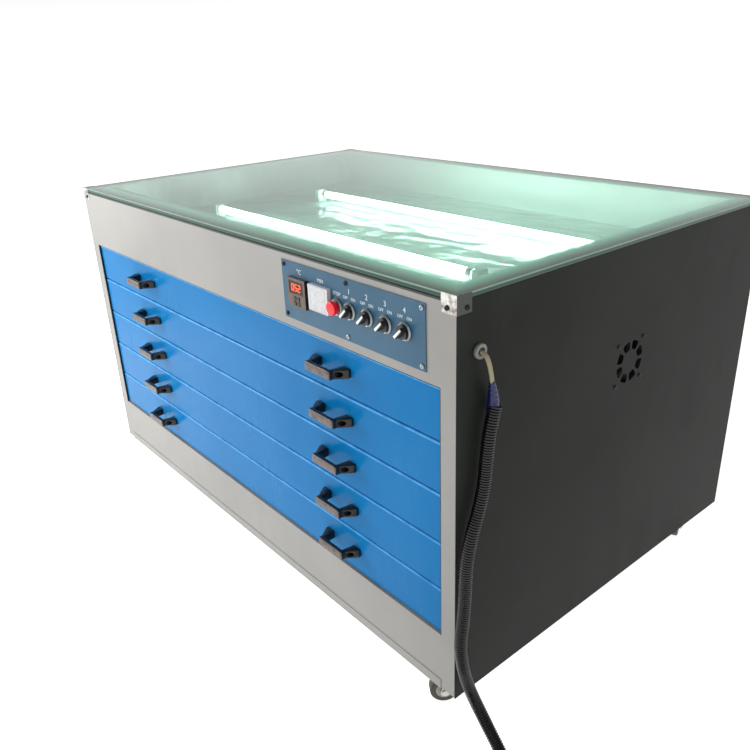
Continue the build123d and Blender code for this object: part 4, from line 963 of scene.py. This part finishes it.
class DRYER_OT_light_box(bpy.types.Operator):
    """White tray, glowing tubes with their caps and holders, glass, rim and clips"""
    bl_idname = "dryer.light_box"
    bl_label = "Light box"

    def execute(self, context):
        settings = context.scene.dryer.light_box
        self.tray(settings)
        self.lamps(settings)
        self.pane(settings)
        self.rim(settings)
        self.clips()
        self.lamp_caps()
        return {"FINISHED"}

    def tray(self, settings):
        """Shiny rippled white with painted shade towards the left and a painted glow of
        lamp light.
        """
        tray = Finish("light box white", Specular_IOR_Level=0.6,
                      Emission_Strength=settings.tray_glow)
        cloud = tray.between(tray.noise(5, 4, 0.55), 0.35, 0.65)
        # Painted shade darkens the white towards the left; the emission is painted lamp
        # light, brighter where the white is
        lit = tray.between(tray.axes()[0], -0.55, 0.0) * 0.75 + cloud * 0.25
        tray.paint(lit, scaled(settings.white, 0.5), settings.white)
        tray.paint(lit, rgb(40, 70, 60), rgb(206, 245, 232), "Emission Color")
        tray.give("Roughness", tray.noise(9, 3, 0.5) * 0.16 + 0.1)
        tray.bump(tray.noise(7, 2, 0.4, stretch=(1, 2.2, 1), distortion=0.6)
                  + tray.noise(26, 2, 0.4) * 0.2, 0.010)
        dress(tray, "light_box_tray")

    def lamps(self, settings):
        """Glowing tubes, dimmer at their ends, and white holders."""
        glow = Finish("tube glass", Emission_Strength=settings.glow, Roughness=0.2)
        ends = glow.between(abs(glow.axes()[0] - centre_of("lamp_tubes").x), 0.36, 0.42)
        glow.paint(ends, (0.9, 0.9, 0.9), (0.7, 0.72, 0.7))
        glow.paint(ends, settings.lamp, scaled(settings.lamp, 0.6), "Emission Color")
        dress(glow, "lamp_tubes")
        dress(moulded("holder white", rgb(214, 222, 216)), "lamp_holders")

    def pane(self, settings):
        """The pane with green ground edges, a hair above the rim; on the edges a dark foot
        is painted shade and pale bands are painted highlights.
        """
        pane = Finish("pane", Transmission_Weight=1.0, IOR=1.5)
        x, y, z = pane.axes()
        smear = pane.between(pane.noise(6, 4, 0.6), 0.55, 0.8)
        pane.paint(smear, settings.glass, scaled(settings.glass, 0.97))
        pane.give("Roughness", smear * 0.02)
        rise = pane.between(z, glass_low.z, glass_high.z)
        ripple = pane.noise(3, 3, 0.5, stretch=(1, 1, 0)) * 0.12 - 0.06
        deep = settings.glass_edge
        # The edges' own green, with painted shade at their foot and painted highlights in
        # the pale bands
        edge_green_and_light = pane.node("ShaderNodeValToRGB", {"stops": [
            (0.0, rgb(16, 24, 22)), (0.12, rgb(20, 40, 33)), (0.2, rgb(54, 100, 84)),
            (0.3, scaled(deep, 0.55)), (0.72, deep), (0.8, rgb(110, 150, 134)),
            (1.0, rgb(160, 192, 176))]}, {0: rise + ripple})
        edge = pane.node("ShaderNodeBsdfPrincipled", sockets={
            "Base Color": edge_green_and_light, "Roughness": 0.2})
        outside = (abs(x - glass_middle.x) - (glass_half.x - PANE_CHAMFER)).at_least(
            abs(y - glass_middle.y) - (glass_half.y - PANE_CHAMFER))
        both = pane.node("ShaderNodeMixShader", sockets={
            0: outside > 0.0, 1: Link(pane, pane.shader.outputs[0]), 2: edge})
        pane.feed(pane.tree.nodes["Material Output"].inputs["Surface"], both)
        size = glass_high - glass_low
        sheet = block((size.x, size.y, size.z - PANE_LIFT),
                      glass_middle + Vector((0, 0, PANE_LIFT / 2)))
        fitted(bevelled(sheet, PANE_CHAMFER, 1), "glass_pane", "cabinet", "glass", pane,
               "glass_top")

    def rim(self, settings):
        """Enamel under the glass with painted shade towards the outside and a painted glow
        inside.
        """
        paint = enamel("rim enamel", settings.rim, 0.35, dust=0.01, gloss=0.05)
        paint.shader.inputs["Emission Strength"].default_value = settings.rim_glow
        x, y = paint.axes()[:2]
        inset = (glass_half.x - abs(x - glass_middle.x)).at_most(
            glass_half.y - abs(y - glass_middle.y))
        patchy_light = paint.noise(18, 4, 0.6) * 0.16 - 0.08
        lit = paint.between(paint.between(inset, 0.010, 0.043) + patchy_light, 0, 1)
        # Painted shade near the outer edge, and painted lamp light that glows towards the
        # inside
        dark = scaled(settings.rim, 0.05)
        paint.paint(lit, dark, settings.rim)
        paint.paint(lit, scaled(dark, 0.3), settings.rim, "Emission Color")
        dress(paint, "top_rim")

    def clips(self):
        """Bright crinkled corner clips; their faces on the sides get painted shade, dark
        and less metallic.
        """
        clip = plated("bright clip", rgb(206, 208, 206), 0.24, crinkle=1.6, tarnish=0.5)
        # Painted shade: the faces on the sides are dark grey and barely metallic
        shaded_face = abs(clip.axes()[0]) > CLIP_SHADED_FROM
        clouds = clip.between(clip.noise(60, 4, 0.6), 0.42, 0.62)
        bare = clip.mix(clouds, rgb(214, 212, 208), rgb(120, 112, 112))
        clip.paint(shaded_face, bare, rgb(50, 54, 50))
        clip.give("Metallic", shaded_face * -0.9 + 1.0)
        dress(clip, "corner_clips")

    def lamp_caps(self):
        """Bright metal caps on both ends of both tubes."""
        low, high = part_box("lamp_tubes")
        cap = drum(LAMP_RADIUS + 0.00035, 0.014, axis="X", sides=28)
        with shaping(cap):
            for side in (-1, 1):
                pick(cap, lambda c, n, s=side: n.x * s > 0.9)
                bpy.ops.mesh.inset(thickness=0.0012)
                pull(0.0009 * side, 0, 0)
        bevelled(cap, 0.0005)
        level = (low.z + high.z) / 2
        front, back = low.y + LAMP_RADIUS, high.y - LAMP_RADIUS
        inward = 0.0065
        caps = copied(cap, [
            (low.x + inward, front, level), (low.x + LAMP_LENGTH - inward, front, level),
            (high.x - LAMP_LENGTH + inward, back, level), (high.x - inward, back, level)])
        fitted(joined(caps), "lamp_caps", "cabinet", "holder_white",
               plated("cap steel", rgb(190, 196, 194), 0.3))


# The control panel

class DRYER_OT_panel(bpy.types.Operator):
    """Control plate: display with digits, keys, timer, stop, selectors and numbers"""
    bl_idname = "dryer.panel"
    bl_label = "Control panel"

    def execute(self, context):
        settings = context.scene.dryer.panel
        dress(enamel("plate enamel", settings.plate, 0.3, 0.00003, 0.06, 0.06, 0.3),
              "control_plate")
        case = moulded("controller case", rgb(30, 29, 29), 0.35)
        # The front of the case is brown: a painted reflection on the black case
        face = case.between(case.axes()[1], CASE_FACE, CASE_FACE + 0.0002, 1, 0)
        case.paint(face, rgb(24, 24, 25), rgb(88, 72, 62))
        dress(case, "temperature_controller")
        dress(moulded("key grey", rgb(44, 42, 42), 0.5), "key_lower_left",
              "key_upper_left", "key_lower_right", "key_upper_right")
        self.dial()
        dress(moulded("stop red", settings.stop, 0.25, 0.00002, 0.08), "stop_button")
        dress(plated("collar chrome", rgb(150, 156, 158), 0.26, tarnish=0.5),
              "switch_collars")
        dress(moulded("lever black", rgb(24, 24, 25), 0.38),
              *[f"selector_knob_{i}" for i in range(1, SELECTORS + 1)])
        self.display(settings)
        self.stripes()
        self.words(settings)
        return {"FINISHED"}

    def dial(self):
        """The timer's pale blotched face with a faint outline."""
        dial = moulded("timer white", rgb(196, 196, 200), 0.35, 0.00003, 0.15)
        x, _, z = dial.axes()
        middle = centre_of("timer")
        inset = abs(x - middle.x).at_least(abs(z - middle.z))
        line = dial.between(abs(inset - DIAL_LINE), 0.0004, 0.0008, 1, 0)
        blots = dial.between(dial.noise(170, 3, 0.55), 0.44, 0.6)
        within = dial.between(inset, DIAL_LINE - 0.0007, DIAL_LINE - 0.0003, 1, 0)
        face = dial.mix(within * blots * 0.5, rgb(204, 204, 208), rgb(176, 174, 172))
        dial.paint(line * 0.5, face, rgb(130, 130, 132))
        dress(dial, "timer")

    def display(self, settings):
        """The controller's window and the lit digits behind its surface."""
        low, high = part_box("temperature_controller")
        centre = Vector(((low.x + high.x) / 2, low.y, (low.z + high.z) / 2 + 0.009))
        pane = block((0.0372, 0.0006, 0.0202), centre + Vector((0, 0.0007, 0)))
        with shaping(pane):
            pick(pane, lambda c, n: n.y < -0.9)
            bpy.ops.mesh.inset(thickness=0.0012)
            pull(0, 0.0002, 0)
        fitted(bevelled(pane, 0.00015, 1), "display_window", "cabinet", "bezel_black",
               moulded("display window", rgb(38, 14, 10), 0.12, 0.000005, 0.1))

        size = settings.digit * 0.82
        bar = block((size * 0.40, 0.0003, size * 0.085))
        with shaping(bar):
            for side in (-1, 1):
                pick(bar, lambda c, n, s=side: n.x * s > 0.9)
                pull(size * 0.045 * side, 0, 0)
                resize(z=0.2)
        lit = {"0": "abcdef", "2": "abged", "5": "afgcd"}
        spots = {"a": (0, 1, 0), "g": (0, 0, 0), "d": (0, -1, 0), "f": (-1, 0.5, 1),
                 "b": (1, 0.5, 1), "e": (-1, -0.5, 1), "c": (1, -0.5, 1)}
        pieces = []
        for place, digit in enumerate("052"):
            for name in lit[digit]:
                right, rise, upright = spots[name]
                piece = duplicate(bar)
                if upright:
                    piece.data.transform(Matrix.Rotation(math.pi / 2, 4, "Y"))
                piece.data.transform(Matrix.Translation(centre + Vector((
                    (place - 1) * size * 0.82 + right * size * 0.26, 0.0002,
                    rise * size * 0.5))))
                pieces.append(piece)
        bpy.data.objects.remove(bar)
        shine = Finish("lit digits", Emission_Strength=3.0, Roughness=0.4)
        tone = settings.display
        patch = shine.noise(700, 2, 0.5)
        shine.paint(patch, tone, scaled(tone, 0.8))
        shine.paint(patch, tone, scaled(tone, 0.85), "Emission Color")
        fitted(joined(pieces), "display_digits", "cabinet", "bezel_black", shine)

    def stripes(self):
        """The white pointer stripe along each selector's lever."""
        stripe = block((0.0195, 0.0008, 0.0042))
        with shaping(stripe):
            pick(stripe, lambda c, n: n.x > 0.9)
            resize(z=0.75)
        bevelled(stripe, 0.00025)
        stripe.data.transform(Matrix.Rotation(-math.pi / 4, 4, "Y"))
        white = moulded("pointer white", rgb(236, 236, 230), 0.4, 0.00002, 0.15)
        moves = []
        for i in range(1, SELECTORS + 1):
            low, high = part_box(f"selector_knob_{i}")
            moves.append(((low.x + high.x) / 2, low.y - 0.0001, (low.z + high.z) / 2))
        for i, piece in enumerate(copied(stripe, moves), 1):
            fitted(piece, f"pointer_stripe_{i}", f"selector_{i}", "selector_ring", white)

    def words(self, settings):
        """Plain numbers and generic words in white ink above the controls."""
        words = []
        for i in range(1, SELECTORS + 1):
            middle = centre_of(f"selector_knob_{i}").x
            words += [(str(i), middle, 0.7025, 0.0115),
                      ("OFF    ON", middle, 0.6935, 0.0066)]
        printed = []
        for text, x, z, size in words + WORDS:
            choose()
            bpy.ops.object.text_add(location=(0, 0, 0))
            letters = bpy.context.object.data
            letters.body = text
            letters.size = size
            letters.align_x = "CENTER"
            letters.extrude = 0.00006
            bpy.ops.object.convert(target="MESH")
            piece = bpy.context.object
            piece.data.transform(Matrix.Rotation(math.pi / 2, 4, "X"))
            piece.data.transform(Matrix.Translation((x, plate_face - 0.00003, z)))
            printed.append(piece)
        fitted(joined(printed), "panel_print", "cabinet", "selector_ring",
               moulded("white ink", settings.print_colour, 0.5, 0.00001, 0.4))


# Fan and castors

class DRYER_OT_fan(bpy.types.Operator):
    """Black moulded fan behind the side panel's openings"""
    bl_idname = "dryer.fan"
    bl_label = "Fan"

    def execute(self, context):
        dress(moulded("fan black", rgb(30, 30, 31), 0.45), "fan_frame", "fan_rotor")
        return {"FINISHED"}


class DRYER_OT_castors(bpy.types.Operator):
    """Plated castor forks and plates, and the brown tyred wheels"""
    bl_idname = "dryer.castors"
    bl_label = "Castors"

    def execute(self, context):
        zinc = plated("castor zinc", rgb(190, 190, 184), 0.32)
        dress(zinc, "castor_plates")
        for corner, heading in CASTOR_HEADINGS.items():
            dress(zinc, f"castor_fork_{corner}")
            centre = centre_of(f"castor_wheel_{corner}")
            tyre = moulded(f"tyre {corner.replace('_', ' ')}", rgb(58, 48, 44), 0.55,
                           0.00006, 0.35)
            x, y, z = tyre.axes()
            turn = math.radians(heading)
            onward = (y - centre.y) * math.cos(turn) - (x - centre.x) * math.sin(turn)
            radius = (onward ** 2 + (z - centre.z) ** 2) ** 0.5
            hub = tyre.between(radius, HUB_RADIUS, HUB_RADIUS + 0.0004, 1, 0)
            tyre.paint(hub, rgb(62, 50, 45), rgb(150, 148, 142))
            dress(tyre, f"castor_wheel_{corner}")
        return {"FINISHED"}


# The add-on's panel and registration

STEPS = (DRYER_OT_stage, DRYER_OT_lead, DRYER_OT_cabinet, DRYER_OT_screws, DRYER_OT_drawers,
         DRYER_OT_handles, DRYER_OT_light_box, DRYER_OT_panel, DRYER_OT_fan,
         DRYER_OT_castors)


class DRYER_PT_sidebar(bpy.types.Panel):
    bl_idname = "DRYER_PT_sidebar"
    bl_label = "Screen Printing Dryer"
    bl_space_type = "VIEW_3D"
    bl_region_type = "UI"
    bl_category = "Dryer"

    def draw(self, context):
        for step in STEPS:
            self.layout.operator(step.bl_idname)
        for group in ("cabinet", "handle", "light_box", "panel", "lead", "stage"):
            settings = getattr(context.scene.dryer, group)
            box = self.layout.box()
            for name in settings.bl_rna.properties.keys():
                if name not in {"rna_type", "name"}:
                    box.prop(settings, name)


CLASSES = (CabinetSettings, HandleSettings, LightBoxSettings, PanelSettings, LeadSettings,
           StageSettings, DryerSettings, *STEPS, DRYER_PT_sidebar)


def register():
    for each in CLASSES:
        bpy.utils.register_class(each)
    bpy.types.Scene.dryer = PointerProperty(type=DryerSettings)


def unregister():
    del bpy.types.Scene.dryer
    for each in reversed(CLASSES):
        bpy.utils.unregister_class(each)


def main():
    register()
    for step in STEPS:
        area, name = step.bl_idname.split(".")
        getattr(getattr(bpy.ops, area), name)()


if __name__ == "__main__":
    main()
